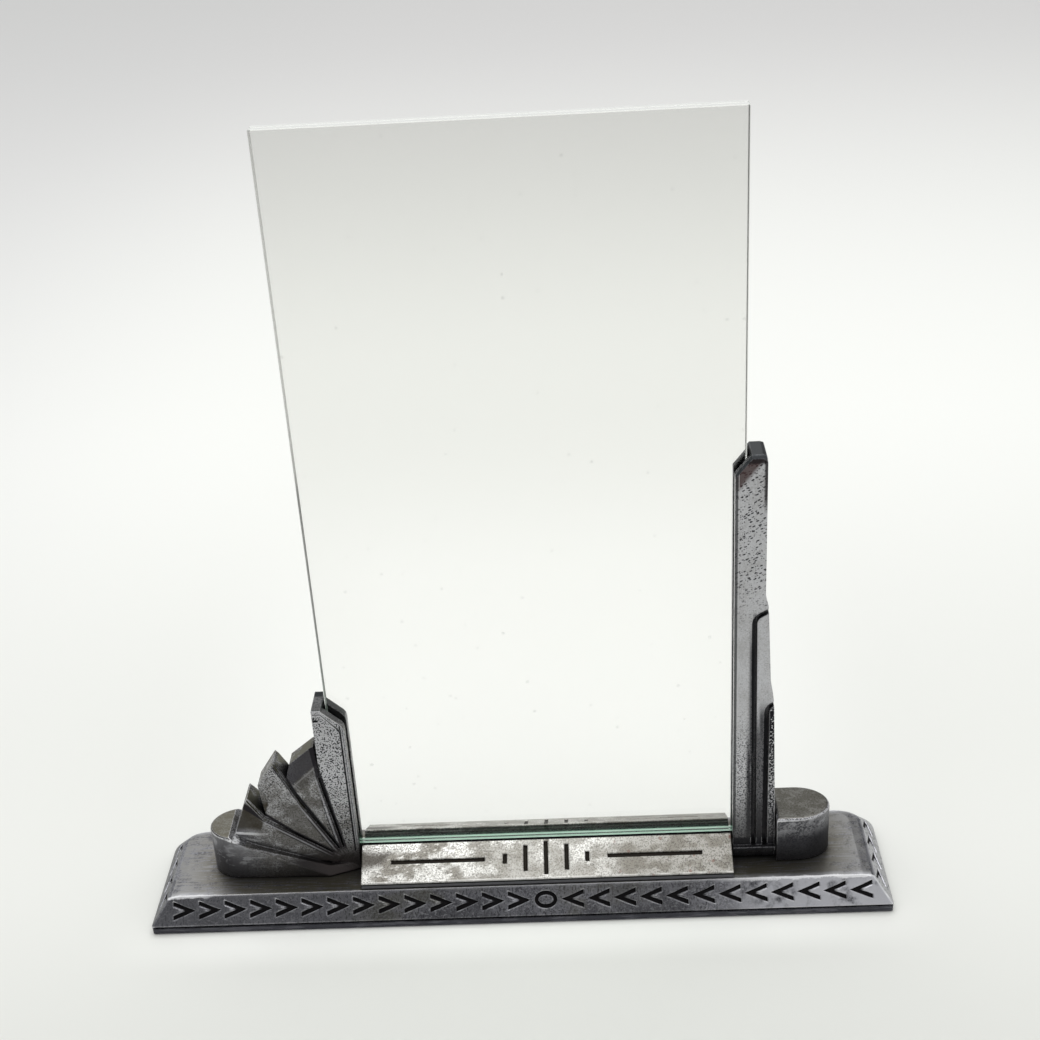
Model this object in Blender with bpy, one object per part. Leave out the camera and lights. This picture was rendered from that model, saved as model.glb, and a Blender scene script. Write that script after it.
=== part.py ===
"""Double glass picture frame in cast white metal.

A bevelled plinth carries a fan casting at the left, a stepped tower at the right and a saddle rail between
them. Two panes stand face to face in the rail's slot and in a U-channel in each casting, and lift out upwards.
Units are metres, +X to the viewer's right, +Y to the back, +Z up. The origin is the middle of the underside.
"""

from math import cos
from math import pi
from math import radians
from math import sin

import bmesh
import bpy
from mathutils import Vector

# Fits between pieces
SEAT_GAP = 0.0003
CHANNEL_CLEARANCE = 0.0003
CHANNEL_END_CLEARANCE = 0.0007
PANE_GAP = 0.0002

# Plinth
PLINTH_LENGTH_BEYOND_GLASS = 0.0940
PLINTH_DEPTH = 0.0388
PLINTH_HEIGHT = 0.0094
FOOT_HEIGHT = 0.0021
FOOT_INSET = 0.0001
FOOT_EDGE = 0.0004
RIM_LINE_HEIGHT = 0.0007
RIM_LINE_DEPTH = 0.0009
SIDE_SLOPE_RUN = 0.0051
END_SLOPE_RUN = 0.0051
CROWN_RUN = 0.0028
CROWN_DROP = 0.0009
FRONT_CORNER_RADIUS = 0.0006
REAR_CORNER_RADIUS = 0.0058
PLINTH_WALL = 0.0030
PLINTH_ROOF = 0.0030

# Chevron bands on the plinth's slopes
CHEVRON_PITCH = 0.00727
CHEVRON_LENGTH = 0.0065
CHEVRON_SPREAD = 0.0038
CHEVRON_ARM_WIDTH = 0.0016
CHEVRON_MOUTH_SHARE = 1.5
CHEVRON_FLOOR_SHARE = 0.4
CHEVRON_DEPTH = 0.0006
CHEVRON_DROP = 0.0040
CHEVRON_END_MARGIN = 0.0020
RING_CENTRE = 0.0076
RING_LENGTH = 0.0066
RING_HEIGHT = 0.0050
RING_WIDTH = 0.0013
RING_MARGIN = 0.0009

# Glass
GLASS_WIDTH = 0.1136
GLASS_HEIGHT = 0.2054
GLASS_THICKNESS = 0.0020
GLASS_CENTRE = 0.0070
GLASS_EDGE_BREAK = 0.0002

# Rail between the brackets
RAIL_SEAT_HEIGHT = 0.0062
RAIL_LIP_HEIGHT = 0.0014
RAIL_SLOT_WIDTH = 0.0083
RAIL_DEPTH = 0.0280
RAIL_EDGE_HEIGHT = 0.0017
RAIL_END_GAP_LEFT = 0.0009
RAIL_END_GAP_RIGHT = 0.0006
RAIL_MARK_WIDTH = 0.0013
RAIL_MARK_DEPTH = 0.0005
RAIL_MARK_DROP = 0.0054
RAIL_LONG_MARK_START = 0.0172
RAIL_LONG_MARK_LENGTH = 0.0267
RAIL_TICK_PITCH = 0.0058
RAIL_TICK_HEIGHTS = (0.0098, 0.0076, 0.0030)

# Fan bracket
UPRIGHT_HEIGHT = 0.0544
UPRIGHT_WIDTH = 0.0084
UPRIGHT_HALF_DEPTH = 0.00485
UPRIGHT_TOP_WIDTH = 0.0024
UPRIGHT_CHAMFER_HEIGHT = 0.0056
UPRIGHT_GRASP = 0.0048
UPRIGHT_RIM = 0.0009
UPRIGHT_RIM_LINE = 0.0004
UPRIGHT_CORNER_CUT = 0.0012
FAN_HUB_INSET = 0.0036
FAN_HUB_HEIGHT = 0.0026
RAY_GROOVE_WIDTH = 0.0019
RAY_GROOVE_DEPTH = 0.0010
RAY_GROOVE_START = 0.0055
RAY_GROOVE_START_SHARE = 0.4
RAY_GROOVE_FLOOR_SHARE = 0.4
RAY_TIP_ROUND = 0.0012
LOBE_LENGTH = 0.0426
LOBE_HALF_DEPTH = 0.00725
LOBE_ROUND = 0.0090
LOBE_HEIGHT = 0.0138
LOBE_TOP_LENGTH = 0.0063
LOBE_SHOULDER_DROP = 0.0031
LOBE_SHOULDER_RUN = 0.0046
LOBE_ROOT_HEIGHT = 0.0022
LOBE_ROOT_HALF_DEPTH = 0.0080
LOBE_RIDGE_INSET = 0.0012
EDGE_ROUND = 0.0009

# Tower bracket
TOWER_HEIGHT = 0.1256
TOWER_WIDTH = 0.0081
TOWER_HALF_DEPTH = 0.0047
TOWER_GRASP = 0.0031
TOWER_TOP_WIDTH = 0.0039
TOWER_CHAMFER_HEIGHT = 0.0053
TOWER_TOP_BEVEL = 0.0008
TOWER_CORNER_CUT = 0.0012
SECOND_TOWER_HEIGHT = 0.0823
SECOND_TOWER_STEP = 0.0008
SECOND_TOWER_TAPER = 0.0009
SECOND_SHOULDER_RISE = 0.0023
THIRD_TOWER_HEIGHT = 0.0528
THIRD_TOWER_STEP = 0.0010
THIRD_TOWER_TAPER = 0.0012
THIRD_SHOULDER_RISE = 0.0060
TOWER_GROOVE_WIDTH = 0.0014
TOWER_GROOVE_DEPTH = 0.0013
TOWER_GROOVE_BEND = 0.0028
TOWER_GROOVE_TURNS = (20, 40, 60)
TOWER_GROOVE_DROP = 0.0026
FIRST_GROOVE_INSET = 0.0035
FIRST_GROOVE_LEAN = 0.0005
SECOND_GROOVE_INSET = 0.0016
TOWER_FOOT_HALF_DEPTH = 0.0060
TOWER_FOOT_TOP = 0.0036
TOWER_FOOT_THICKNESS = 0.0015
TOWER_NECK_HALF_DEPTH = 0.0051
BOSS_LENGTH = 0.0155
BOSS_HALF_DEPTH = 0.00745
BOSS_ROUND = 0.0095
BOSS_HEIGHT = 0.0143

# Screws from beneath
SCREW_DIAMETER = 0.0038
SCREW_LENGTH = 0.0100
SCREW_HEAD_DIAMETER = 0.0068
SCREW_HEAD_HEIGHT = 0.0020
SCREW_SLOT_WIDTH = 0.0010
SCREW_SLOT_DEPTH = 0.0009
SCREW_CROWN_SHARE = 0.72
SCREW_HOLE_SPARE = 0.0006
SCREW_BOSS_DIAMETER = 0.0090
SCREW_BOSS_DROP = 0.0022
RAIL_SCREW_SPACING = 0.0600
FAN_SCREW_SPACING = 0.0200
ROUND_STEPS = 24
CORNER_STEPS = 6

# Places that follow from the sizes above
PLINTH_LENGTH = GLASS_WIDTH + PLINTH_LENGTH_BEYOND_GLASS
SEAT_Z = PLINTH_HEIGHT + SEAT_GAP
SLOT_FLOOR_Z = PLINTH_HEIGHT + RAIL_SEAT_HEIGHT + SEAT_GAP
GLASS_Z = SLOT_FLOOR_Z + SEAT_GAP
GLASS_LEFT = GLASS_CENTRE - GLASS_WIDTH / 2
GLASS_RIGHT = GLASS_CENTRE + GLASS_WIDTH / 2
CHANNEL_HALF_WIDTH = PANE_GAP / 2 + GLASS_THICKNESS + CHANNEL_CLEARANCE
UPRIGHT_RIGHT = GLASS_LEFT + UPRIGHT_GRASP
UPRIGHT_LEFT = UPRIGHT_RIGHT - UPRIGHT_WIDTH
TOWER_LEFT = GLASS_RIGHT - TOWER_GRASP
TOWER_RIGHT = TOWER_LEFT + TOWER_WIDTH
RAIL_LEFT = UPRIGHT_RIGHT + RAIL_END_GAP_LEFT
RAIL_RIGHT = TOWER_LEFT - RAIL_END_GAP_RIGHT
RAIL_CENTRE = (RAIL_LEFT + RAIL_RIGHT) / 2
HUB_X = UPRIGHT_RIGHT - FAN_HUB_INSET
HUB_Z = PLINTH_HEIGHT + FAN_HUB_HEIGHT
SLOPE_FOOT_Z = FOOT_HEIGHT + RIM_LINE_HEIGHT
HEAD_SEAT_Z = PLINTH_HEIGHT - PLINTH_ROOF - SCREW_BOSS_DROP
SCREW_TIP_Z = HEAD_SEAT_Z - SEAT_GAP + SCREW_LENGTH
SCREW_HOLE_RADIUS = SCREW_DIAMETER / 2 + SEAT_GAP
LOBE_LEFT = UPRIGHT_RIGHT - LOBE_LENGTH
SECOND_TOWER_RIGHT = TOWER_RIGHT + SECOND_TOWER_STEP + SECOND_TOWER_TAPER
BOSS_LEFT = SECOND_TOWER_RIGHT + THIRD_TOWER_STEP + THIRD_TOWER_TAPER
BOSS_CENTRE = BOSS_LEFT + BOSS_LENGTH - BOSS_ROUND
LOBE_CENTRE = LOBE_LEFT + LOBE_ROUND
FAN_SCREW_OUTER_X = LOBE_CENTRE + SCREW_DIAMETER / 2
SCREW_PLACES = {
    "fan_screw_outer": FAN_SCREW_OUTER_X,
    "fan_screw_inner": FAN_SCREW_OUTER_X + FAN_SCREW_SPACING,
    "rail_screw_left": RAIL_CENTRE - RAIL_SCREW_SPACING / 2,
    "rail_screw_right": RAIL_CENTRE + RAIL_SCREW_SPACING / 2,
    "tower_screw_inner": TOWER_RIGHT,
    "tower_screw_outer": BOSS_CENTRE + SCREW_DIAMETER / 2,
}

# The fan's upper three rays, from the upright outwards. Each corner is (angle in degrees, reach) from the hub.
# knee: where the flat face ends, above and below; tip: the outer edge from its upper to its lower corner.
RAYS = (
    {"half_depth": 0.00475, "tip_half_depth": 0.0024, "root": (95.0, 123.0),
     "knee": ((99.3, 0.0304), (113.5, 0.0280)), "tip": ((98.5, 0.0397), (111.7, 0.0358), (121.0, 0.0300))},
    {"half_depth": 0.00495, "tip_half_depth": 0.0036, "root": (104.0, 148.0),
     "knee": ((116.7, 0.0240), (141.0, 0.0180)), "tip": ((116.9, 0.0388), (130.5, 0.0352), (142.0, 0.0276),
                                                         (151.0, 0.0210))},
    {"half_depth": 0.00510, "tip_half_depth": 0.0042, "root": (126.0, 172.0),
     "knee": ((142.8, 0.0277), (164.5, 0.0262)), "tip": ((139.2, 0.0352), (161.5, 0.0330), (172.0, 0.0320))},
)

# Colour, roughness and metallic value of each finish
FINISHES = {
    "plinth": ((0.20, 0.20, 0.19), 0.42, 1.0),
    "fan_bracket": ((0.34, 0.34, 0.33), 0.40, 1.0),
    "tower_bracket": ((0.36, 0.36, 0.35), 0.40, 1.0),
    "glass_rail": ((0.55, 0.54, 0.50), 0.38, 1.0),
    "front_glass": ((0.90, 0.96, 0.94), 0.03, 0.0),
    "rear_glass": ((0.88, 0.95, 0.93), 0.03, 0.0),
    "screw": ((0.45, 0.44, 0.42), 0.35, 1.0),
}


def on_axis(axis, a, b, along):
    """Place a point of a flat outline at a distance along the axis that the outline is swept on."""
    if axis == "X":
        return Vector((along, a, b))
    if axis == "Y":
        return Vector((a, along, b))
    return Vector((a, b, along))


def add_loft(mesh, rings):
    """Skin equal rings of points in order and cap both ends, as one closed shell in the edit mesh."""
    loops = [[mesh.verts.new(point) for point in ring] for ring in rings]
    count = len(loops[0])
    faces = [mesh.faces.new(loops[0]), mesh.faces.new(loops[-1])]
    for low, high in zip(loops, loops[1:]):
        for i in range(count):
            j = (i + 1) % count
            faces.append(mesh.faces.new((low[i], low[j], high[j], high[i])))
    bmesh.ops.recalc_face_normals(mesh, faces=faces)


def add_prism(mesh, axis, outline, low, high):
    """Sweep a flat outline straight along an axis between two distances."""
    add_loft(mesh, [[on_axis(axis, a, b, along) for a, b in outline] for along in (low, high)])


def box_outline(a_low, a_high, b_low, b_high):
    """Four corners of a rectangle."""
    return [(a_low, b_low), (a_high, b_low), (a_high, b_high), (a_low, b_high)]


def circle_outline(a, b, radius, steps=ROUND_STEPS):
    """Corners of a regular polygon round a centre."""
    return [(a + radius * cos(2 * pi * i / steps), b + radius * sin(2 * pi * i / steps)) for i in range(steps)]


def bullnose_outline(centre, reach, half_depth, straight_end):
    """Plan of a boss: a half oval about the centre, which reaches left if negative, and straight flanks."""
    turn = 1 if reach > 0 else -1
    angles = [pi * i / ROUND_STEPS for i in range(ROUND_STEPS + 1)]
    curve = [(centre + reach * sin(angle), -turn * half_depth * cos(angle)) for angle in angles]
    return curve + [(straight_end, turn * half_depth), (straight_end, -turn * half_depth)]


def cut_corner(outline, index, size):
    """Swap one corner of an outline for three points of a curve that starts and ends a size away from it."""
    corner = Vector(outline[index])
    before = Vector(outline[index - 1]) - corner
    after = Vector(outline[(index + 1) % len(outline)]) - corner
    start = corner + before.normalized() * size
    end = corner + after.normalized() * size
    middle = (start + end) / 4 + corner / 2
    return outline[:index] + [tuple(start), tuple(middle), tuple(end)] + outline[index + 1:]


def as_object(name, mesh):
    """Finish an edit mesh as a named object in the scene."""
    bmesh.ops.recalc_face_normals(mesh, faces=mesh.faces)
    data = bpy.data.meshes.new(name)
    mesh.to_mesh(data)
    mesh.free()
    piece = bpy.data.objects.new(name, data)
    bpy.context.scene.collection.objects.link(piece)
    return piece


def combine(piece, tool, operation):
    """Join another solid to a piece or cut it out of the piece, and keep the result as the piece's own mesh."""
    modifier = piece.modifiers.new(operation.title(), "BOOLEAN")
    modifier.operation = operation
    modifier.object = tool
    modifier.solver = "EXACT"
    graph = bpy.context.evaluated_depsgraph_get()
    result = bpy.data.meshes.new_from_object(piece.evaluated_get(graph))
    piece.modifiers.clear()
    before = piece.data
    name = before.name
    piece.data = result
    bpy.data.meshes.remove(before)
    result.name = name
    bpy.data.objects.remove(tool)


def clip(mesh, point, normal):
    """Slice a convex solid with a plane, drop what lies on the normal's side and close the cut."""
    geometry = mesh.verts[:] + mesh.edges[:] + mesh.faces[:]
    cut = bmesh.ops.bisect_plane(mesh, geom=geometry, plane_co=point, plane_no=normal, clear_outer=True)
    rim = [item for item in cut["geom_cut"] if isinstance(item, bmesh.types.BMEdge)]
    bmesh.ops.contextual_create(mesh, geom=rim)
    bmesh.ops.recalc_face_normals(mesh, faces=mesh.faces)


def round_rim(mesh, z):
    """Round the edges of a flat top that lies at height z."""
    rim = [edge for edge in mesh.edges
           if all(abs(vert.co.z - z) < SEAT_GAP / 10 for vert in edge.verts)]
    bmesh.ops.bevel(mesh, geom=rim, offset=EDGE_ROUND, segments=3, profile=0.5, affect="EDGES")


def finish(piece, finish_name, smooth_angle=30.0):
    """Give a piece its own material and shade its round parts smooth."""
    colour, roughness, metallic = FINISHES[finish_name]
    material = bpy.data.materials.new(piece.name)
    material.use_nodes = True
    shader = material.node_tree.nodes["Principled BSDF"]
    shader.inputs["Base Color"].default_value = (*colour, 1.0)
    shader.inputs["Roughness"].default_value = roughness
    shader.inputs["Metallic"].default_value = metallic
    if finish_name.endswith("glass"):
        shader.inputs["Transmission Weight"].default_value = 1.0
        shader.inputs["IOR"].default_value = 1.52
    piece.data.materials.clear()
    piece.data.materials.append(material)
    piece.data.shade_smooth()
    piece.data.set_sharp_from_angle(angle=radians(smooth_angle))


def rounded_ring(half_x, half_y, z):
    """Rectangle at height z with round corners, wide ones at the back and tight ones at the front."""
    points = []
    for corner, (sx, sy) in enumerate(((1, 1), (-1, 1), (-1, -1), (1, -1))):
        radius = REAR_CORNER_RADIUS if sy > 0 else FRONT_CORNER_RADIUS
        for step in range(CORNER_STEPS + 1):
            angle = (corner + step / CORNER_STEPS) * pi / 2
            points.append(Vector((sx * (half_x - radius) + radius * cos(angle),
                                  sy * (half_y - radius) + radius * sin(angle), z)))
    return points


class Slope:
    """A flat sloping face: u runs along it, v runs down it from its top edge and n stands out of it."""

    def __init__(self, top, along, foot):
        self.top = Vector(top)
        self.u = Vector(along)
        fall = Vector(foot) - self.top
        self.length = fall.length
        self.v = fall.normalized()
        out = Vector((fall.x, fall.y, 0)).normalized()
        self.n = (out - self.v * out.dot(self.v)).normalized()

    def at(self, u, v, n):
        return self.top + self.u * u + self.v * v + self.n * n


def plinth_slopes():
    """The four slopes of the plinth, front and back first."""
    half_x = PLINTH_LENGTH / 2
    half_y = PLINTH_DEPTH / 2
    top_x = half_x - END_SLOPE_RUN
    top_y = half_y - SIDE_SLOPE_RUN
    sides = [Slope((0, side * top_y, PLINTH_HEIGHT), (1, 0, 0), (0, side * half_y, SLOPE_FOOT_Z))
             for side in (-1, 1)]
    ends = [Slope((side * top_x, 0, PLINTH_HEIGHT), (0, 1, 0), (side * half_x, 0, SLOPE_FOOT_Z))
            for side in (-1, 1)]
    return sides, ends


def chevron_outline(tip, heading, width, stretch):
    """Arrowhead of two arms that meet at the tip, heading +1 or -1 along u."""
    tail = tip - heading * (CHEVRON_LENGTH + stretch)
    spread = CHEVRON_SPREAD / 2
    rise = spread / CHEVRON_LENGTH
    nose = tip + heading * stretch
    crook = tip - heading * width / rise
    return [(nose, 0.0), (tail, -spread - width / 2), (tail, -spread + width / 2), (crook, 0.0),
            (tail, spread - width / 2), (tail, spread + width / 2)]


def add_chevron(mesh, slope, tip, heading):
    """Incised chevron whose walls lean, so that it narrows with depth."""
    rings = []
    for side, width_share in ((1, CHEVRON_MOUTH_SHARE), (-1, CHEVRON_FLOOR_SHARE)):
        lift = side * CHEVRON_DEPTH
        outline = chevron_outline(tip, heading, CHEVRON_ARM_WIDTH * width_share, lift / 2)
        rings.append([slope.at(u, CHEVRON_DROP + v, lift) for u, v in outline])
    add_loft(mesh, rings)


def chevron_tips(start, room):
    """Distances of the tips from the first one, as many as fit in the room."""
    count = max(1, int((room - CHEVRON_LENGTH) / CHEVRON_PITCH) + 1)
    return [start + i * CHEVRON_PITCH for i in range(count)]


def add_ring_mark(mesh, slope):
    """Oval groove round a raised oval, where the two rows of chevrons meet."""
    rings = []
    for lift, spare in ((CHEVRON_DEPTH, 1.0), (-CHEVRON_DEPTH, -1.0)):
        grow = spare * RING_WIDTH / 4
        for_side = []
        for scale in (1, -1):
            half_u = RING_LENGTH / 2 - RING_WIDTH / 2 + scale * (RING_WIDTH / 2 + grow)
            half_v = RING_HEIGHT / 2 - RING_WIDTH / 2 + scale * (RING_WIDTH / 2 + grow)
            for_side.append([slope.at(RING_CENTRE + half_u * cos(2 * pi * i / ROUND_STEPS),
                                      CHEVRON_DROP + half_v * sin(2 * pi * i / ROUND_STEPS), lift)
                             for i in range(ROUND_STEPS)])
        rings.append(for_side)
    (outer_top, inner_top), (outer_low, inner_low) = rings
    loops = [[mesh.verts.new(point) for point in ring] for ring in (outer_top, outer_low, inner_low, inner_top)]
    faces = []
    for k, low in enumerate(loops):
        high = loops[(k + 1) % len(loops)]
        for i in range(ROUND_STEPS):
            j = (i + 1) % ROUND_STEPS
            faces.append(mesh.faces.new((low[i], low[j], high[j], high[i])))
    bmesh.ops.recalc_face_normals(mesh, faces=faces)


def plinth_ornament():
    """All the chevrons and ring marks of the plinth as one cutting tool."""
    mesh = bmesh.new()
    sides, ends = plinth_slopes()
    half_room = (PLINTH_LENGTH - END_SLOPE_RUN) / 2 - CHEVRON_END_MARGIN
    first = RING_LENGTH / 2 + RING_MARGIN
    for slope in sides:
        for heading in (1, -1):
            room = half_room + heading * RING_CENTRE - first
            for distance in chevron_tips(first, room):
                add_chevron(mesh, slope, RING_CENTRE - heading * distance, heading)
        add_ring_mark(mesh, slope)
    end_room = PLINTH_DEPTH - SIDE_SLOPE_RUN - 2 * CHEVRON_END_MARGIN
    tips = chevron_tips(0.0, end_room)
    centre = (tips[-1] - CHEVRON_LENGTH) / 2
    for slope in ends:
        for distance in tips:
            add_chevron(mesh, slope, distance - centre, 1)
    return as_object("plinth_ornament", mesh)


def make_plinth():
    """Bevelled cast base: outer skin by rings, hollow underside, screw bosses and incised bands."""
    half_x = PLINTH_LENGTH / 2
    half_y = PLINTH_DEPTH / 2
    rise = PLINTH_HEIGHT - SLOPE_FOOT_Z

    def skin(z, inset=0.0, crown=0.0):
        up = max(0.0, (z - SLOPE_FOOT_Z) / rise)
        return rounded_ring(half_x - END_SLOPE_RUN * up - inset - crown,
                            half_y - SIDE_SLOPE_RUN * up - inset, z)

    rings = [skin(0.0, FOOT_INSET + FOOT_EDGE), skin(FOOT_EDGE, FOOT_INSET), skin(FOOT_HEIGHT, FOOT_INSET),
             skin(FOOT_HEIGHT, RIM_LINE_DEPTH), skin(SLOPE_FOOT_Z, RIM_LINE_DEPTH),
             skin(SLOPE_FOOT_Z), skin(PLINTH_HEIGHT - CROWN_DROP),
             skin(PLINTH_HEIGHT - CROWN_DROP / 3, 0.0, CROWN_RUN / 4), skin(PLINTH_HEIGHT, 0.0, CROWN_RUN)]
    mesh = bmesh.new()
    add_loft(mesh, rings)
    plinth = as_object("plinth", mesh)

    roof_z = PLINTH_HEIGHT - PLINTH_ROOF
    lean = (roof_z - SLOPE_FOOT_Z) / rise
    mouth = rounded_ring(half_x - PLINTH_WALL, half_y - PLINTH_WALL, -SEAT_GAP)
    roof = rounded_ring(half_x - PLINTH_WALL - END_SLOPE_RUN * lean,
                        half_y - PLINTH_WALL - SIDE_SLOPE_RUN * lean, roof_z)
    mesh = bmesh.new()
    add_loft(mesh, [mouth, roof])
    combine(plinth, as_object("hollow", mesh), "DIFFERENCE")

    mesh = bmesh.new()
    for x in SCREW_PLACES.values():
        add_prism(mesh, "Z", circle_outline(x, 0, SCREW_BOSS_DIAMETER / 2),
                  HEAD_SEAT_Z, roof_z + PLINTH_ROOF / 2)
    combine(plinth, as_object("screw_bosses", mesh), "UNION")

    mesh = bmesh.new()
    for x in SCREW_PLACES.values():
        add_prism(mesh, "Z", circle_outline(x, 0, SCREW_HOLE_RADIUS), 0.0, PLINTH_HEIGHT + SEAT_GAP)
    combine(plinth, as_object("screw_holes", mesh), "DIFFERENCE")
    combine(plinth, plinth_ornament(), "DIFFERENCE")
    finish(plinth, "plinth")


def add_bar_mark(mesh, slope, u_low, u_high, v_low, v_high):
    """Straight incised mark whose walls lean, so that it narrows with depth."""
    rings = []
    for lift, spare in ((RAIL_MARK_DEPTH, 1.0), (-RAIL_MARK_DEPTH, -1.0)):
        grow = spare * RAIL_MARK_WIDTH / 4
        outline = box_outline(u_low - grow, u_high + grow, v_low - grow, v_high + grow)
        rings.append([slope.at(u, v, lift) for u, v in outline])
    add_loft(mesh, rings)


def add_screw_sockets(mesh, places):
    """Blind holes that the screws from beneath run into."""
    for x in places:
        add_prism(mesh, "Z", circle_outline(x, 0, SCREW_HOLE_RADIUS),
                  SEAT_Z - SEAT_GAP, SCREW_TIP_Z + SCREW_HOLE_SPARE)


def make_rail():
    """Saddle between the brackets: a roof shape with a slot in its ridge and incised marks on its slopes."""
    half = RAIL_DEPTH / 2
    slot = RAIL_SLOT_WIDTH / 2
    edge_z = SEAT_Z + RAIL_EDGE_HEIGHT
    lip_z = SLOT_FLOOR_Z + RAIL_LIP_HEIGHT
    outline = [(-half, SEAT_Z), (half, SEAT_Z), (half, edge_z), (slot, lip_z), (slot, SLOT_FLOOR_Z),
               (-slot, SLOT_FLOOR_Z), (-slot, lip_z), (-half, edge_z)]
    mesh = bmesh.new()
    add_prism(mesh, "X", outline, RAIL_LEFT, RAIL_RIGHT)
    rail = as_object("glass_rail", mesh)

    mark_half = RAIL_MARK_WIDTH / 2
    long_mark = (RAIL_LONG_MARK_START, RAIL_LONG_MARK_START + RAIL_LONG_MARK_LENGTH)
    mesh = bmesh.new()
    for side in (-1, 1):
        slope = Slope((RAIL_CENTRE, side * slot, lip_z), (1, 0, 0), (RAIL_CENTRE, side * half, edge_z))
        for turn in (-1, 1):
            u_low, u_high = sorted(turn * u for u in long_mark)
            add_bar_mark(mesh, slope, u_low, u_high, RAIL_MARK_DROP - mark_half, RAIL_MARK_DROP + mark_half)
        for step, height in enumerate(RAIL_TICK_HEIGHTS):
            for u in sorted({step * RAIL_TICK_PITCH, -step * RAIL_TICK_PITCH}):
                add_bar_mark(mesh, slope, u - mark_half, u + mark_half,
                             RAIL_MARK_DROP - height / 2, RAIL_MARK_DROP + height / 2)
    add_screw_sockets(mesh, [SCREW_PLACES["rail_screw_left"], SCREW_PLACES["rail_screw_right"]])
    combine(rail, as_object("rail_marks", mesh), "DIFFERENCE")
    finish(rail, "glass_rail")


def from_hub(angle, reach):
    """Point of the fan, as (x, z), at an angle in degrees and a distance from the hub."""
    return HUB_X + reach * cos(radians(angle)), HUB_Z + reach * sin(radians(angle))


def make_ray(name, ray):
    """One ray of the fan: a wedge, flat on each side, with an outer facet that leans back to its tip."""
    depth = ray["half_depth"]
    root = [from_hub(angle, FAN_HUB_HEIGHT) for angle in reversed(ray["root"])]
    knee_high, knee_low = [from_hub(*corner) for corner in ray["knee"]]
    outline = root + [knee_high] + [from_hub(*corner) for corner in ray["tip"]]
    outline = cut_corner(outline, len(root) + 1, RAY_TIP_ROUND)
    mesh = bmesh.new()
    add_prism(mesh, "Y", outline, -depth, depth)
    tip = from_hub(*ray["tip"][0])
    for side in (-1, 1):
        start = Vector((knee_high[0], side * depth, knee_high[1]))
        along = Vector((knee_low[0], side * depth, knee_low[1])) - start
        out = Vector((tip[0], side * ray["tip_half_depth"], tip[1])) - start
        normal = along.cross(out)
        if normal.y * side < 0:
            normal.negate()
        clip(mesh, start, normal)
    return as_object(name, mesh)


def add_ray_groove(mesh, ray, whole):
    """Groove in both faces over a ray's upper edge; it widens to the knee and, if whole, runs to the tip."""
    root = Vector(from_hub(ray["root"][0], FAN_HUB_HEIGHT))
    knee = Vector(from_hub(*ray["knee"][0]))
    start = root + (knee - root).normalized() * (RAY_GROOVE_START - FAN_HUB_HEIGHT)
    stations = [(start, ray["half_depth"], RAY_GROOVE_WIDTH * RAY_GROOVE_START_SHARE),
                (knee, ray["half_depth"], RAY_GROOVE_WIDTH)]
    if whole:
        tip = Vector(from_hub(*ray["tip"][0]))
        beyond = (tip - knee).normalized() * RAY_GROOVE_WIDTH
        stations.append((tip + beyond, ray["tip_half_depth"], RAY_GROOVE_WIDTH))
    last = len(stations) - 1
    for side in (-1, 1):
        rings = []
        for k, (point, depth, width) in enumerate(stations):
            heading = (stations[min(k + 1, last)][0] - stations[max(k - 1, 0)][0]).normalized()
            across = Vector((-heading.y, heading.x))
            mouth = side * (depth + RAY_GROOVE_DEPTH)
            floor = side * (depth - RAY_GROOVE_DEPTH)
            half = width / 2
            floor_half = half * RAY_GROOVE_FLOOR_SHARE
            ring = []
            for offset, y in ((-half, mouth), (half, mouth), (floor_half, floor), (-floor_half, floor)):
                edge = point + across * offset
                ring.append(Vector((edge.x, y, edge.y)))
            rings.append(ring)
        add_loft(mesh, rings)


def upright_outline(inset=0.0):
    """Front outline of the fan's upright, drawn in by an inset at its top and right and let out at its left."""
    top = SEAT_Z + UPRIGHT_HEIGHT - inset
    right = UPRIGHT_RIGHT - inset
    left = UPRIGHT_LEFT - inset
    outline = [(left, SEAT_Z), (right, SEAT_Z), (right, top - UPRIGHT_CHAMFER_HEIGHT),
               (UPRIGHT_LEFT + UPRIGHT_TOP_WIDTH, top), (left, top)]
    return cut_corner(outline, 2, UPRIGHT_CORNER_CUT)


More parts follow.
